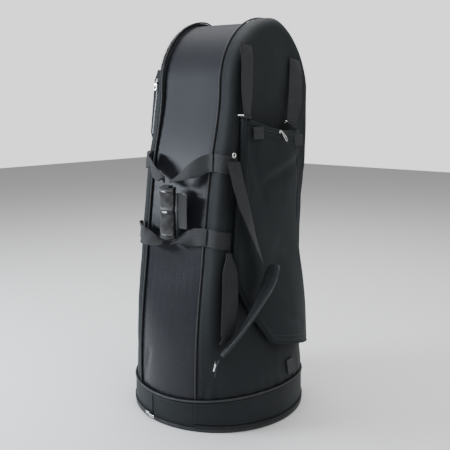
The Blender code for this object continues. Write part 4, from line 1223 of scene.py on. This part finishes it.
def make_pouch():
    """Bag with its walls, the hem round its mouth, its edge welt and the seams that shape it."""
    rows = [pouch_section(smooth_start(k / POUCH_ROWS)) for k in range(POUCH_ROWS + 1)]
    centre = sum(rows[0], Vector()) / len(rows[0])
    closing = [[centre.lerp(p, 0.4) for p in rows[0]], [centre.lerp(p, 0.9) for p in rows[0]]]
    bag = mesh_object("pouch_bag", [closing + rows], "pouch_fabric", wrap=True, weld=2e-4)
    bm = bmesh.new()
    bm.from_mesh(bag.data)
    bmesh.ops.holes_fill(bm, edges=[e for e in bm.edges if e.is_boundary and e.verts[0].co.z < 0.25], sides=0)
    bmesh.ops.recalc_face_normals(bm, faces=bm.faces)
    bm.to_mesh(bag.data)
    bm.free()
    vote = sum(f.normal.y for f in bag.data.polygons if abs(f.center.x - 0.02) < 0.02 and f.center.y < -0.145)
    if vote > 0:
        bag.data.flip_normals()
    thicken(bag, 0.0022)
    place(bag, "case_shell", "nylon_fabric", "pouch_body")

    hem = []
    for k in range(91):
        x = mix(POUCH_LEFT[-1][1] + 0.003, POUCH_RIGHT[-1][1] - 0.003, k / 90)
        u = (x - POUCH_LEFT[-1][1]) / (POUCH_RIGHT[-1][1] - POUCH_LEFT[-1][1])
        top = mouth_z(x)
        front = pouch_front_y(x)
        high = Vector((x, front + 0.0004, top + 0.0016))
        low = pouch_point(u, 0.974, POUCH_DEPTH) + Vector((0, -0.0007, 0))
        inside = Vector((x, front + 0.0036, top - 0.002))
        line = [inside, Vector((x, front + 0.0022, top + 0.0014)), high]
        for share, puff in ((0.15, 0.0011), (0.5, 0.0011), (0.9, 0.0008)):
            line.append(high.lerp(low, share) + Vector((0, -puff, 0)))
        hem.append(line + [low])
    lip = mesh_object("pouch_hem", [hem], "pouch_fabric")
    turn_toward(lip, (0, -1, 0))
    thicken(lip, 0.0007)
    place(lip, "case_shell", "nylon_fabric")

    def edge(u, spread, v_low=0.0, v_high=1.0, steps=140):
        return [
            pouch_point(u, mix(v_low, v_high, k / steps), POUCH_DEPTH) + Vector((0, -spread, 0))
            for k in range(steps + 1)
        ]

    welt_path = list(reversed(edge(0.0, 0.0002))) + [
        pouch_point(k / 60, 0.0, POUCH_DEPTH) + Vector((0, -0.0002, 0)) for k in range(1, 60)
    ] + edge(1.0, 0.0002)
    welt_path = resample(welt_path, 0.004)
    welt = tube("pouch_edge_welt", welt_path, 0.0012, "pouch_fabric", sides=8, normal=(0, 1, 0))
    place(welt, "case_shell", "nylon_fabric")

    def front_line(points, steps=60):
        """Path on the pouch's front through (u, v) places."""
        return [
            pouch_point(p.x, p.y, POUCH_DEPTH) + Vector((0, -0.0004, 0))
            for p in catmull([(u, v, 0) for u, v in points], steps)
        ]

    runs = []
    for shift in (0.026, 0.048):
        for u in (shift, 1 - shift):
            runs.append((front_line([(u, v) for v in (1.0, 0.6, 0.25, 0.04)]), pouch_out))
    for v, lift in ((0.022, 0.0), (0.040, 0.0), (0.970, 0.0016), (0.984, 0.0016)):
        path = front_line([(u, v) for u in (0.03, 0.35, 0.7, 0.97)], 40)
        runs.append(([p + Vector((0, -lift, 0)) for p in path], pouch_out))
    stitching("pouch_stitching", runs, "case_shell", "nylon_fabric")


def smooth_start(t):
    """Closer rows near 0."""
    return t * (0.6 + 0.4 * t)


def turn_toward(made, direction):
    """Point most of a sheet's faces along one direction."""
    vote = sum(p.normal.dot(Vector(direction)) * p.area for p in made.data.polygons)
    if vote < 0:
        made.data.flip_normals()


def make_pouch_flap():
    """Zipped flap over the mouth: two tapes with the zip between them."""
    pivot_y = -FRONT_Y - 0.0024
    rows = []
    for k in range(33):
        x = mix(FLAP_X[0], FLAP_X[1], k / 32)
        low = mouth_z(x) + 0.0006
        front = pouch_front_y(x) + 0.001
        line = []
        for i in range(17):
            t = i / 16
            rise = 0.0009 * sin(pi * t) - 0.0007 * bell(t - 0.55, 0.10)
            line.append(Vector((x, mix(pivot_y, front, t), low + 0.0014 + rise)))
        rows.append(line)
    flap = mesh_object("pouch_flap_cloth", [rows], "pouch_fabric")
    turn_toward(flap, (0, 0, 1))
    thicken(flap, 0.0012)
    place(flap, "pouch_mouth_flap", "nylon_fabric", "pouch_mouth_flap")
    path = []
    for k in range(49):
        x = mix(FLAP_X[0] + 0.002, FLAP_X[1] - 0.002, k / 48)
        front = pouch_front_y(x) + 0.001
        path.append(Vector((x, mix(pivot_y, front, 0.55), mouth_z(x) + 0.0024)))
    teeth = zip_chain("pouch_flap_zip", path, lambda p: (0, 0, 1), width=0.0042)
    place(teeth, "pouch_mouth_flap", "zip_coil")


def make_pouch_zip():
    x = 0.012
    z = mouth_z(x) - 0.003
    y = pouch_front_y(x) - 0.0014
    centre_z = MOUTH_LOW[1] + MOUTH_R
    along = Vector((centre_z - z, 0.0, x - MOUTH_LOW[0])).normalized()
    slider("pouch_slider_body", (x, y, z), along, (0, -1, 0), (0.013, 0.008, 0.0058), "pouch_zip_slider",
           "pouch_zip_slider")
    pull("pouch_pull_tab", (x, y - 0.0058, z), (0.70, 0, -0.71), (0, -1, 0), 0.029, 0.0085, 0.0016,
         "pouch_zip_pull", "pouch_zip_pull")


def make_pouch_tabs():
    runs = []
    for hand, x in (("left", -0.062), ("right", 0.090)):
        z = mouth_z(x)
        y = min(pouch_front_y(x - 0.017), pouch_front_y(x + 0.017)) - 0.0022
        route = ((x, y, z - 0.009), (x, y - 0.0004, z - 0.022), (x, y - 0.0008, z - 0.035))
        across = ((1, 0, 0),) * 3
        strap(f"pouch_tab_{hand}_webbing", route, across, "case_shell", f"pouch_tab_{hand}", width=0.034)
        point, ahead, side, out = strap_frame(route, across, 0.5)
        out = Vector((0, -1, 0))
        runs += box_stitch(point + out * (WEBBING_T / 2 + 0.0001), ahead, side, out, 0.018, 0.026)
    stitching("pouch_tab_stitching", runs, "case_shell", "webbing")


# ---------------------------------------------------------------- hanging straps on the front

STRAP_LEFT = ((-0.070, -0.1340, 0.834), (-0.072, -0.1390, 0.800), (-0.080, -0.1450, 0.746),
              (-0.088, -0.1520, 0.690))
STRAP_RIGHT = ((0.112, -0.1340, 0.814), (0.106, -0.1420, 0.780), (0.088, -0.1530, 0.722),
               (0.068, -0.1585, 0.672))
LEFT_ACROSS = ((1, 0, 0), (1, 0, 0), (1, 0.05, 0), (1, 0.12, 0))
RIGHT_ACROSS = ((1, 0, 0), (1, -0.2, 0), (0.96, -0.28, 0), (0.98, -0.2, 0))
STRAP_END_W = {"left": 0.025, "right": 0.030}
RING_W = 0.033
METAL_WIRE_R = 0.0016


def make_front_straps():
    """Each strap is sewn at its top, gathered at its end and looped round the bar of its ring."""
    straps = (("left", STRAP_LEFT, LEFT_ACROSS, 2.0), ("right", STRAP_RIGHT, RIGHT_ACROSS, 6.0))
    for hand, route, across, seed in straps:
        body = f"front_strap_{hand}"
        end_width = STRAP_END_W[hand]
        end = Vector(route[-1])
        down = (end - Vector(route[-2])).normalized()
        side = Vector(across[-1])
        side = (side - down * side.dot(down)).normalized()
        lay = Vector((-side.y, side.x, 0.0)).normalized()
        bar = end + down * (METAL_WIRE_R + 3 * GAP)

        def gathered(share, end_width=end_width):
            return mix(WEBBING_W, end_width, smooth((share - 0.72) / 0.28))

        strap(f"front_strap_{hand}_webbing", route, across, body, body, steps=16, width=gathered, seed=seed,
              slack=0.0012)
        loop = []
        for k in range(11):
            angle = radians(-100 + 290 * k / 10)
            loop.append(bar + (METAL_WIRE_R + 0.0016) * (cos(angle) * side.cross(down) + sin(angle) * down))
        strap(f"front_strap_{hand}_loop", loop, (side,) * len(loop), body, None, steps=2, width=end_width,
              thickness=0.0020, slack=0.0)
        point, ahead, across_there, out = front_frame(route, across, 0.05)
        middle = point + ahead * 0.010 + out * (WEBBING_T / 2 + 0.0001)
        runs = box_stitch(middle, ahead, across_there, out, 0.020, 0.028)
        point, ahead, across_there, out = front_frame(route, across, 0.90)
        for step in (0.0, 0.004):
            middle = point + ahead * step + out * (WEBBING_T / 2 + 0.0003)
            reach = across_there * end_width * 0.42
            runs.append(((middle - reach, middle + reach), lambda p, out=out: out))
        stitching(f"front_strap_{hand}_stitching", runs, body, "webbing")
        path = wire_loop(bar, side, lay, RING_W, 0.013, 0.003)
        ring = tube(f"strap_ring_{hand}_wire", path, METAL_WIRE_R, "steel", 12, side.cross(lay), closed=True)
        place(ring, f"strap_ring_{hand}", "steel", f"strap_ring_{hand}")


# ---------------------------------------------------------------- pocket on the back

POCKET_LOW = 0.612
POCKET_HIGH = 0.792
POCKET_LEFT_X = (-0.101, -0.074)
POCKET_RIGHT_X = (0.148, 0.150)
POCKET_DEPTH = (0.014, 0.027)
SLIT_Z = (0.644, 0.770)
SLIT_HALF = 0.0026


def pocket_mix(pair, z):
    return mix(pair[0], pair[1], (z - POCKET_LOW) / (POCKET_HIGH - POCKET_LOW))


def pocket_seat(z):
    return edge_size(1.0, z)[0] + GAP


def slit_point(z):
    return Vector((pocket_mix(POCKET_LEFT_X, z), pocket_seat(z) + 0.46 * pocket_mix(POCKET_DEPTH, z), z))


def pocket_section(z):
    """One level of the pocket: back, right gusset, front panel, left gusset up to the zip."""
    corner = 0.016 * (1 - smooth((z - POCKET_LOW) / 0.04)) + 0.008 * smooth((z - 0.765) / 0.027)
    x0 = pocket_mix(POCKET_LEFT_X, z) + corner
    x1 = pocket_mix(POCKET_RIGHT_X, z) - corner
    y0 = pocket_seat(z)
    y1 = y0 + pocket_mix(POCKET_DEPTH, z)
    middle = slit_point(z).y
    turn_x, turn_y = 0.004, 0.003
    line = [Vector((mix(x0, x1, k / 8), y0, z)) for k in range(9)]
    line += [Vector((x1 - 0.0006 * sin(pi * k / 6), mix(y0, y1 - turn_y, k / 6), z)) for k in range(1, 7)]
    for k in range(1, 6):
        angle = pi / 2 * k / 6
        line.append(Vector((x1 - turn_x + turn_x * cos(angle), y1 - turn_y + turn_y * sin(angle), z)))
    for k in range(61):
        t = k / 60
        soft = smooth(6 * t) * smooth(6 * (1 - t))
        slack = soft * (0.0022 * ripple((mix(x1, x0, t), 0, z), (13, 1, 17), 9.2) - 0.0016)
        line.append(Vector((mix(x1 - turn_x, x0 + turn_x, t), y1 + min(0.0, slack), z)))
    for k in range(1, 6):
        angle = pi / 2 * (1 - k / 6)
        line.append(Vector((x0 + turn_x - turn_x * cos(angle), y1 - turn_y + turn_y * sin(angle), z)))
    line += [Vector((x0, mix(y1 - turn_y, middle + SLIT_HALF, k / 4), z)) for k in range(5)]
    sunk = 0.0025 if SLIT_Z[0] <= z <= SLIT_Z[1] else 0.0008
    line.append(Vector((x0 + sunk, middle, z)))
    line += [Vector((x0, mix(middle - SLIT_HALF, y0, k / 4), z)) for k in range(4)]
    return line


def make_back_pocket():
    steps = 64
    rows = [pocket_section(mix(POCKET_LOW, POCKET_HIGH, k / steps)) for k in range(steps + 1)]
    grids = [rows]
    for end in (rows[0], rows[-1]):
        middle = sum(end, Vector()) / len(end)
        grids.append([[middle.lerp(p, share) for p in end] for share in (0.001, 0.5, 1.0)])
    bag = mesh_object("back_pocket_bag", grids, "nylon_fabric", wrap=True, weld=3e-4)
    place(bag, "case_shell", "nylon_fabric", "back_pocket_body")
    path = [slit_point(mix(SLIT_Z[0], SLIT_Z[1], k / 40)) + Vector((0.0006, 0, 0)) for k in range(41)]
    place(zip_chain("back_pocket_zip", path, lambda p: (-1, 0, 0)), "case_shell", "zip_coil")

    def panel_edge(inset):
        """Path up one side of the outer panel, across its top and down its other side."""
        levels = [mix(POCKET_LOW + 0.008, POCKET_HIGH - inset, k / 40) for k in range(41)]
        shift = inset + 0.006

        def place_on(share, z):
            x = mix(pocket_mix(POCKET_LEFT_X, z) + shift, pocket_mix(POCKET_RIGHT_X, z) - shift, share)
            return Vector((x, pocket_seat(z) + pocket_mix(POCKET_DEPTH, z) + 0.0002, z))

        path = [place_on(0.0, z) for z in levels]
        path += [place_on(k / 60, levels[-1]) for k in range(1, 60)]
        return path + [place_on(1.0, z) for z in reversed(levels)]

    runs = [(panel_edge(inset), lambda p: (0, 1, 0)) for inset in (0.003, 0.007)]
    stitching("back_pocket_stitching", runs, "case_shell", "nylon_fabric")
    top = slit_point(SLIT_Z[1] - 0.004)
    run = (slit_point(SLIT_Z[0]) - top).normalized()
    slider_at = top + Vector((-GAP - 0.0006, 0.0, 0.0))
    slider("back_slider_body", slider_at, run, (-1, 0, -0.15), (0.012, 0.009, 0.0058), "back_zip_slider",
           "back_zip_slider")
    pull("back_pull_tab", slider_at + Vector((-0.0058, 0.0, 0.0)), run, (-1, 0, 0), 0.022, 0.012, 0.0016,
         "back_zip_pull", "back_zip_pull")


# ---------------------------------------------------------------- carry handle on the satin band

GRIP_CENTRE = Vector((-0.172, 0.000, 0.480))
GRIP_HALF_Z = 0.056
GRIP_W = 0.042
GRIP_T = 0.026


def grip_ring(z, width, depth, wrinkle=0.0):
    ring = []
    for k in range(56):
        angle = 2 * pi * k / 56
        bow = wrinkle * ripple((cos(angle), sin(angle), z * 60), (1.6, 1.6, 1.0), 3.3)
        x = GRIP_CENTRE.x + (depth / 2 + bow) * power(cos(angle), 0.85)
        y = GRIP_CENTRE.y + (width / 2 + bow) * power(sin(angle), 0.85)
        ring.append(Vector((x, y, z)))
    return ring


def make_grip():
    """Vinyl wrap pinched across its middle, its rolled ends, and the bundle of webbing inside it."""
    z_low = GRIP_CENTRE.z - GRIP_HALF_Z
    z_high = GRIP_CENTRE.z + GRIP_HALF_Z
    outer, inner = [], []
    for k in range(97):
        t = k / 96
        z = mix(z_low, z_high, t)
        pinch = 0.08 * bell(t - 0.55, 0.040) + 0.03 * bell(t - 0.55, 0.14)
        waist = 1.0 - 0.06 * sin(pi * t) - pinch - 0.05 * bell(t - 0.93, 0.012) - 0.05 * bell(t - 0.07, 0.012)
        outer.append(grip_ring(z, GRIP_W * waist, GRIP_T * waist, wrinkle=0.0007))
        if k % 8 == 0:
            inner.append(grip_ring(z, GRIP_W * 0.9 - 0.0055, GRIP_T * 0.9 - 0.0055))
    rows = outer + list(reversed(inner))
    wrap = mesh_object("grip_vinyl", [rows + [rows[0]]], "vinyl", wrap=True, sharp=70)
    place(wrap, "carry_grip", "vinyl", "grip_wrap")
    runs = []
    for z in (z_high - 0.0078, z_low + 0.0078):
        ring = grip_ring(z, GRIP_W * 0.95, GRIP_T * 0.95)
        runs.append((ring + ring[:1], lambda p: (p.x - GRIP_CENTRE.x, p.y, 0)))
    stitching("grip_stitching", runs, "carry_grip", "vinyl")

    plies = []
    for k in range(4):
        x = GRIP_CENTRE.x + (k - 1.5) * 0.0037
        route = ((x, 0, z_low - 0.004), (x, 0, GRIP_CENTRE.z), (x, 0, z_high + 0.004))
        plies.append(webbing_sections(route, ((0, 1, 0),) * 3, steps=6, width=0.027 - 0.004 * abs(k - 1.5)))
    core = mesh_object("grip_webbing_plies", plies, "webbing", wrap=True, weld=1e-7)
    place(core, "carry_grip", "webbing", "grip_webbing_core")

    flap_x = GRIP_CENTRE.x + 0.004
    y_hinge = -GRIP_W / 2 - 0.0012
    low, high = z_low + 0.024, z_high - 0.012
    flap_t, flap_w = 0.002, 0.030
    bm = bmesh.new()
    bmesh.ops.create_cube(bm, size=1.0)
    for v in bm.verts:
        v.co = Vector((flap_x + flap_t / 2 + v.co.x * flap_t, y_hinge - flap_w / 2 + v.co.y * flap_w,
                       (low + high) / 2 + v.co.z * (high - low)))
    bmesh.ops.bevel(bm, geom=bm.edges[:], offset=0.0008, segments=3, affect="EDGES")
    bm.loops.layers.uv.new("cloth")
    flap = finish_object("grip_flap_vinyl", bm, "vinyl")
    place(flap, "grip_flap", "vinyl", "grip_flap")
    inset = 0.003
    near, far = y_hinge - inset, y_hinge - flap_w + inset
    corners = [(near, low + inset), (near, high - inset), (far, high - inset), (far, low + inset)]
    outline = [Vector((flap_x - 0.0001, y, z)) for y, z in corners + corners[:1]]
    stitching("grip_flap_stitching", [(outline, lambda p: (-1, 0, 0))], "grip_flap", "vinyl")


def arm_width(share):
    return WEBBING_W * (1.0 - 0.55 * smooth((share - 0.45) / 0.55))


def arm_routes():
    """Routes and width directions of the four arms, from the case's edge to the grip's end."""
    z_high = GRIP_CENTRE.z + GRIP_HALF_Z + 0.008
    z_low = GRIP_CENTRE.z - GRIP_HALF_Z - 0.008
    x_grip = GRIP_CENTRE.x
    return {
        "front_upper": (
            ((-0.1320, -0.095, 0.590), (-0.1345, -0.082, 0.589), (-0.146, -0.060, 0.577),
             (-0.160, -0.032, 0.561), (x_grip, -0.008, z_high + 0.004)),
            ((0.14, 0, 1), (0.16, 0, 1), (0.25, 0, 1), (0.8, 0.1, 0.9), (1, 0.2, 0.4)),
        ),
        "front_lower": (
            ((-0.1550, -0.096, 0.433), (-0.1575, -0.083, 0.433), (-0.161, -0.062, 0.431),
             (-0.167, -0.036, 0.426), (x_grip, -0.010, z_low - 0.004)),
            ((0.13, 0, 1), (0.13, 0, 1), (0.15, 0, 1), (0.7, 0.1, 0.7), (1, 0.1, 0.2)),
        ),
        "back_upper": (
            ((-0.1365, 0.092, 0.589), (-0.1425, 0.080, 0.588), (-0.154, 0.068, 0.580), (-0.165, 0.044, 0.563),
             (x_grip, 0.012, z_high + 0.005)),
            ((0.14, 0.1, 1), (0.16, 0.20, 1), (0.2, 0.5, 1), (0.3, 0.8, 1), (0.3, 1, 0.3)),
        ),
        "back_lower": (
            ((-0.1575, 0.093, 0.434), (-0.1690, 0.087, 0.431), (-0.181, 0.067, 0.423), (-0.180, 0.036, 0.414),
             (x_grip, 0.012, z_low - 0.006)),
            ((0.13, 0.1, 1), (0.3, 0.4, 1), (0.4, 0.5, 1), (0.6, 0.5, 0.8), (1, 0.3, 0.2)),
        ),
    }


def make_handle():
    """The four arms, and the patches where they are sewn round the shells' edges."""
    for seed, (where, (route, across)) in enumerate(arm_routes().items()):
        rows = webbing_sections(route, across, steps=16, width=arm_width, seed=seed + 0.5, slack=0.0016)
        arm = mesh_object(f"handle_arm_{where}_webbing", [rows], "webbing", wrap=True, caps=True)
        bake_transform(arm)
        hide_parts(f"handle_arm_{where}")

    runs = []
    patches = (("front_upper", 0.590, -1.0, 0.0032), ("front_lower", 0.432, -1.0, 0.0032),
               ("back_upper", 0.590, 1.0, 0.0045), ("back_lower", 0.430, 1.0, 0.0052))
    for where, z, face, lift in patches:
        x = spline(LEFT_SIDE, z)
        depth, radius = edge_size(face, z)
        start = face * min(BAND_HALF + 0.0112, depth - radius - 0.004)
        route = [(x - lift, start, z)]
        for k in range(4):
            angle = k / 3 * pi / 2
            reach = radius + lift
            y = face * (depth - radius + reach * sin(angle))
            route.append((x + radius - reach * cos(angle), y, z - 0.002 * k))
        route.append((x + radius + 0.006, face * (depth + lift), z - 0.007))
        across = ((0.14, 0, 1),) * len(route)
        strap(f"handle_patch_{where}_webbing", route, across, "case_shell", f"handle_patch_{where}", steps=8)
        path = catmull(route, 8)
        for shift in (-0.015, 0.015):
            line = []
            for a in path[2:-2]:
                centre = Vector((x + radius, face * (depth - radius), a.z))
                out = (a - centre).normalized()
                line.append(a + out * (WEBBING_T / 2 + 0.0002) + Vector((0, 0, shift)))
            runs.append((line, lambda p, x=x, radius=radius, face=face, depth=depth:
                         (p.x - x - radius, p.y - face * (depth - radius), 0)))
    stitching("handle_patch_stitching", runs, "case_shell", "webbing")


# ---------------------------------------------------------------- shoulder strap

RING_TOP = (-0.113, -0.138, 0.607)
RING_TOP_R = 0.0048
PAD_ROUTE = ((-0.050, -0.200, 0.372), (-0.071, -0.199, 0.333), (-0.097, -0.193, 0.293),
             (-0.125, -0.184, 0.254), (-0.152, -0.171, 0.219), (-0.178, -0.157, 0.190))
PAD_ACROSS = ((0.5, 0.85, 0), (0.5, 0.85, 0), (0.6, 0.75, -0.15), (0.7, 0.65, -0.25), (0.745, 0.6, -0.33),
              (0.745, 0.6, -0.33))
UPPER_ROUTE = ((-0.118, -0.141, 0.594), (-0.119, -0.152, 0.556), (-0.116, -0.167, 0.506),
               (-0.098, -0.179, 0.440), (-0.071, -0.1855, 0.372))
UPPER_ACROSS = ((1, 0, 0.1), (1, 0, 0.1), (1, 0.05, 0.1), (0.9, 0.3, 0), (0.77, 0.63, -0.1))
RETURN_ROUTE = ((-0.1345, -0.142, 0.402), (-0.143, -0.152, 0.350), (-0.154, -0.160, 0.290),
                (-0.167, -0.163, 0.238), (-0.1815, -0.1580, 0.215))
RETURN_ACROSS = ((1, -0.2, 0), (0.95, -0.35, 0), (0.9, -0.4, 0), (0.95, -0.1, 0.1), (0.95, 0.1, 0.1))
TAIL_ROUTE = ((-0.1815, -0.1550, 0.1840), (-0.1865, -0.1510, 0.1700), (-0.1890, -0.1485, 0.1500))
TAIL_ACROSS = (0.76, 0.62, -0.2)
TAIL_W = 0.026
ADJUSTER_SIZE = (0.032, 0.015)


def return_width(share):
    """The return webbing is gathered at its sewn end and at its buckled end."""
    return mix(0.015, WEBBING_W, smooth(share / 0.22)) - 0.014 * smooth((share - 0.72) / 0.28)


def upper_width(share):
    """The upper webbing folds narrower towards the pad."""
    return mix(WEBBING_W, 0.022, smooth((share - 0.35) / 0.65))


def pad_sections():
    """Place, axes and half sizes of each section of the shoulder pad, smaller at its rounded ends."""
    path = catmull(PAD_ROUTE, 16)
    widths = [v.normalized() for v in catmull(PAD_ACROSS, 16)]
    rows = []
    for k, point in enumerate(path):
        u = k / (len(path) - 1)
        ahead = heading(path, k)
        side = (widths[k] - ahead * widths[k].dot(ahead)).normalized()
        out = ahead.cross(side)
        end = min(1.0, sqrt(max(0.0, 1 - (2 * u - 1) ** 6)) + 0.35)
        rows.append((point, side, out, 0.026 * end, 0.0060 * (0.6 + 0.4 * end)))
    return rows


def make_shoulder_pad():
    rows = []
    edge_lines = {1: [], -1: []}
    sections = pad_sections()
    for point, side, out, half_w, half_t in sections:
        ring = []
        for i in range(40):
            angle = 2 * pi * i / 40
            cx = power(cos(angle), 0.6)
            cy = power(sin(angle), 0.8)
            groove = 1.0 - 0.42 * bell(abs(cx) - 0.80, 0.06) * smooth(abs(cx) / 0.5)
            where = point + side * half_w * cx
            dimple = 1 + 0.16 * ripple(where, (40, 40, 40), 7.7)
            ring.append(where + out * half_t * cy * groove * dimple)
        rows.append(ring)
        for hand in (1, -1):
            edge_lines[hand].append((point + side * half_w * 0.80 * hand, out, half_t))
    pad = mesh_object("shoulder_pad_cushion", [rows], "nylon_fabric", wrap=True, caps=True, sharp=70)
    place(pad, "shoulder_strap", "nylon_fabric", "shoulder_pad")
    runs = []
    for hand in (1, -1):
        for face in (1, -1):
            line = [p + out * face * half_t * 0.50 for p, out, half_t in edge_lines[hand][5:-5]]
            normal = edge_lines[hand][len(edge_lines[hand]) // 2][1] * face
            runs.append((line, lambda p, normal=normal: normal))
    stitching("shoulder_pad_stitching", runs, "shoulder_strap", "nylon_fabric")
    for hand, label in ((1, "inner"), (-1, "outer")):
        line = [point + side * half_w * 0.985 * hand for point, side, out, half_w, half_t in sections]
        tape = tube(f"shoulder_pad_binding_{label}", line[1:-1], 0.0019, "piping", 8, (0.5, 0.8, 0.3))
        place(tape, "shoulder_strap", "piping")


def make_shoulder_strap():
    body = "shoulder_strap"
    strap("shoulder_webbing_upper_run", UPPER_ROUTE, UPPER_ACROSS, body, "shoulder_webbing_upper",
          width=upper_width, steps=14, seed=1.1, slack=0.0014)
    make_shoulder_pad()
    strap("shoulder_webbing_tail_run", TAIL_ROUTE, (TAIL_ACROSS,) * 3, body, "shoulder_webbing_tail",
          width=TAIL_W)
    strap("shoulder_webbing_return_run", RETURN_ROUTE, RETURN_ACROSS, body, "shoulder_webbing_return",
          width=return_width, steps=16, seed=4.4, slack=0.0010)
    point, ahead, side, out = front_frame(UPPER_ROUTE, UPPER_ACROSS, 0.09)
    runs = box_stitch(point + ahead * 0.006 + out * (WEBBING_T / 2 + 0.0003), ahead, side, out, 0.014, 0.026)
    stitching("shoulder_webbing_stitching", runs, "shoulder_strap", "webbing")


def make_shoulder_metal():
    x, y, z = RING_TOP
    path = []
    for k in range(40):
        angle = 2 * pi * k / 40
        path.append((x + RING_TOP_R * cos(angle), y, z + RING_TOP_R * sin(angle)))
    ring = tube("shoulder_ring_upper_wire", path, 0.0014, "steel", 12, (0, 1, 0), closed=True)
    place(ring, "case_shell", "steel", "shoulder_ring_upper")
    down = (Vector(TAIL_ROUTE[2]) - Vector(TAIL_ROUTE[0])).normalized()
    across = Vector(TAIL_ACROSS)
    across = (across - down * across.dot(down)).normalized()
    out = down.cross(across)
    out = out if out.x < 0 else -out
    centre = Vector(TAIL_ROUTE[1]) + out * (WEBBING_T / 2 + METAL_WIRE_R + 0.0012)
    width, height = ADJUSTER_SIZE
    path = wire_loop(centre - down * height / 2, across, down, width, height, 0.003)
    normal = across.cross(down)
    frame_wire = tube("shoulder_adjuster_wire", path, METAL_WIRE_R, "steel", 12, normal, closed=True)
    place(frame_wire, "shoulder_adjuster", "steel", "shoulder_adjuster")


def make_lower_tab():
    """Sewn webbing loop under the pouch."""
    x = 0.020
    route = [(x, face_depth(x, z, -1.0, 0.0) - 0.0045, z) for z in (0.134, 0.118, 0.102)]
    across = ((0.99, 0.12, 0),) * 3
    strap("lower_tab_webbing", route, across, "case_shell", "lower_tab", width=0.030)


def make_base_slider():
    azimuth = HINGE_AZIMUTH - HINGE_HALF - radians(4)
    out = Vector((sin(azimuth), -cos(azimuth), 0.0))
    along = Vector((cos(azimuth), sin(azimuth), 0.0))
    centre = out * (DRUM_R + GAP + 0.0014 + GAP) + Vector((0, 0, 0.0127))
    slider("base_slider_body", centre, along, out, (0.013, 0.007, 0.0052), "base_zip_slider",
           "base_zip_slider")
    pivot = out * (DRUM_R + 0.0066) + along * 0.005 + Vector((0, 0, 0.0127))
    pull("base_pull_tab", pivot, along, out, 0.026, 0.0075, 0.0016, "base_zip_pull", "base_zip_pull")


# ---------------------------------------------------------------- floor, lights and camera


def area_light(name, place_at, aim, size, power_watts, colour=(1, 1, 1)):
    data = bpy.data.lights.new(name, "AREA")
    data.shape = "RECTANGLE"
    data.size, data.size_y = size
    data.energy = power_watts
    data.color = colour
    light = bpy.data.objects.new(name, data)
    light.location = place_at
    light.rotation_euler = (Vector(aim) - Vector(place_at)).to_track_quat("-Z", "Y").to_euler()
    bpy.context.scene.collection.objects.link(light)
    return light


def make_studio():
    bm = bmesh.new()
    bmesh.ops.create_grid(bm, x_segments=1, y_segments=1, size=6.0)
    mesh = bpy.data.meshes.new("studio_floor")
    bm.to_mesh(mesh)
    bm.free()
    white = bpy.data.materials.new("studio_white")
    white.use_nodes = True
    shader = white.node_tree.nodes["Principled BSDF"]
    shader.inputs["Base Color"].default_value = (0.86, 0.86, 0.86, 1.0)
    shader.inputs["Roughness"].default_value = 0.9
    mesh.materials.append(white)
    ground = bpy.data.objects.new("studio_floor", mesh)
    ground.location = (0, 0, -0.0005)
    bpy.context.scene.collection.objects.link(ground)

    world = bpy.data.worlds.new("studio")
    bpy.context.scene.world = world
    world.use_nodes = True
    tree = world.node_tree
    surround = tree.nodes["Background"]
    surround.inputs["Color"].default_value = (1.0, 1.0, 1.0, 1.0)
    surround.inputs["Strength"].default_value = 0.36
    backdrop = tree.nodes.new("ShaderNodeBackground")
    backdrop.inputs["Color"].default_value = (1.0, 1.0, 1.0, 1.0)
    backdrop.inputs["Strength"].default_value = 1.6
    seen = tree.nodes.new("ShaderNodeLightPath")
    choose = tree.nodes.new("ShaderNodeMixShader")
    tree.links.new(seen.outputs["Is Camera Ray"], choose.inputs[0])
    tree.links.new(surround.outputs[0], choose.inputs[1])
    tree.links.new(backdrop.outputs[0], choose.inputs[2])
    tree.links.new(choose.outputs[0], tree.nodes["World Output"].inputs["Surface"])

    area_light("window_left", (-1.36, 1.32, 1.00), (-0.13, 0.0, 0.56), (0.80, 0.26), 46, (0.84, 0.91, 1.0))
    area_light("fill_front", (-0.5, -1.9, 2.1), (0.0, 0.0, 0.55), (1.4, 1.4), 14)
    area_light("top", (0.3, 0.2, 2.6), (0.0, 0.0, 0.0), (2.4, 2.4), 80)

    data = bpy.data.cameras.new("photo_view")
    data.lens = 52.0
    data.sensor_width = 36.0
    camera = bpy.data.objects.new("photo_view", data)
    camera.location = (-1.1737, -0.9849, 0.7041)
    camera.rotation_euler = (radians(79.8), 0.0, radians(-50.58))
    bpy.context.scene.collection.objects.link(camera)
    bpy.context.scene.camera = camera


def main():
    for made in list(bpy.data.objects):
        if made.type in ("CAMERA", "LIGHT"):
            bpy.data.objects.remove(made, do_unlink=True)
    make_materials()
    make_panels()
    make_linings()
    make_seams()
    make_drum()
    make_base_zip_and_lid()
    make_base_slider()
    make_pouch()
    make_pouch_flap()
    make_pouch_zip()
    make_pouch_tabs()
    make_front_straps()
    make_back_pocket()
    make_grip()
    make_handle()
    make_shoulder_strap()
    make_shoulder_metal()
    make_lower_tab()
    make_studio()


main()
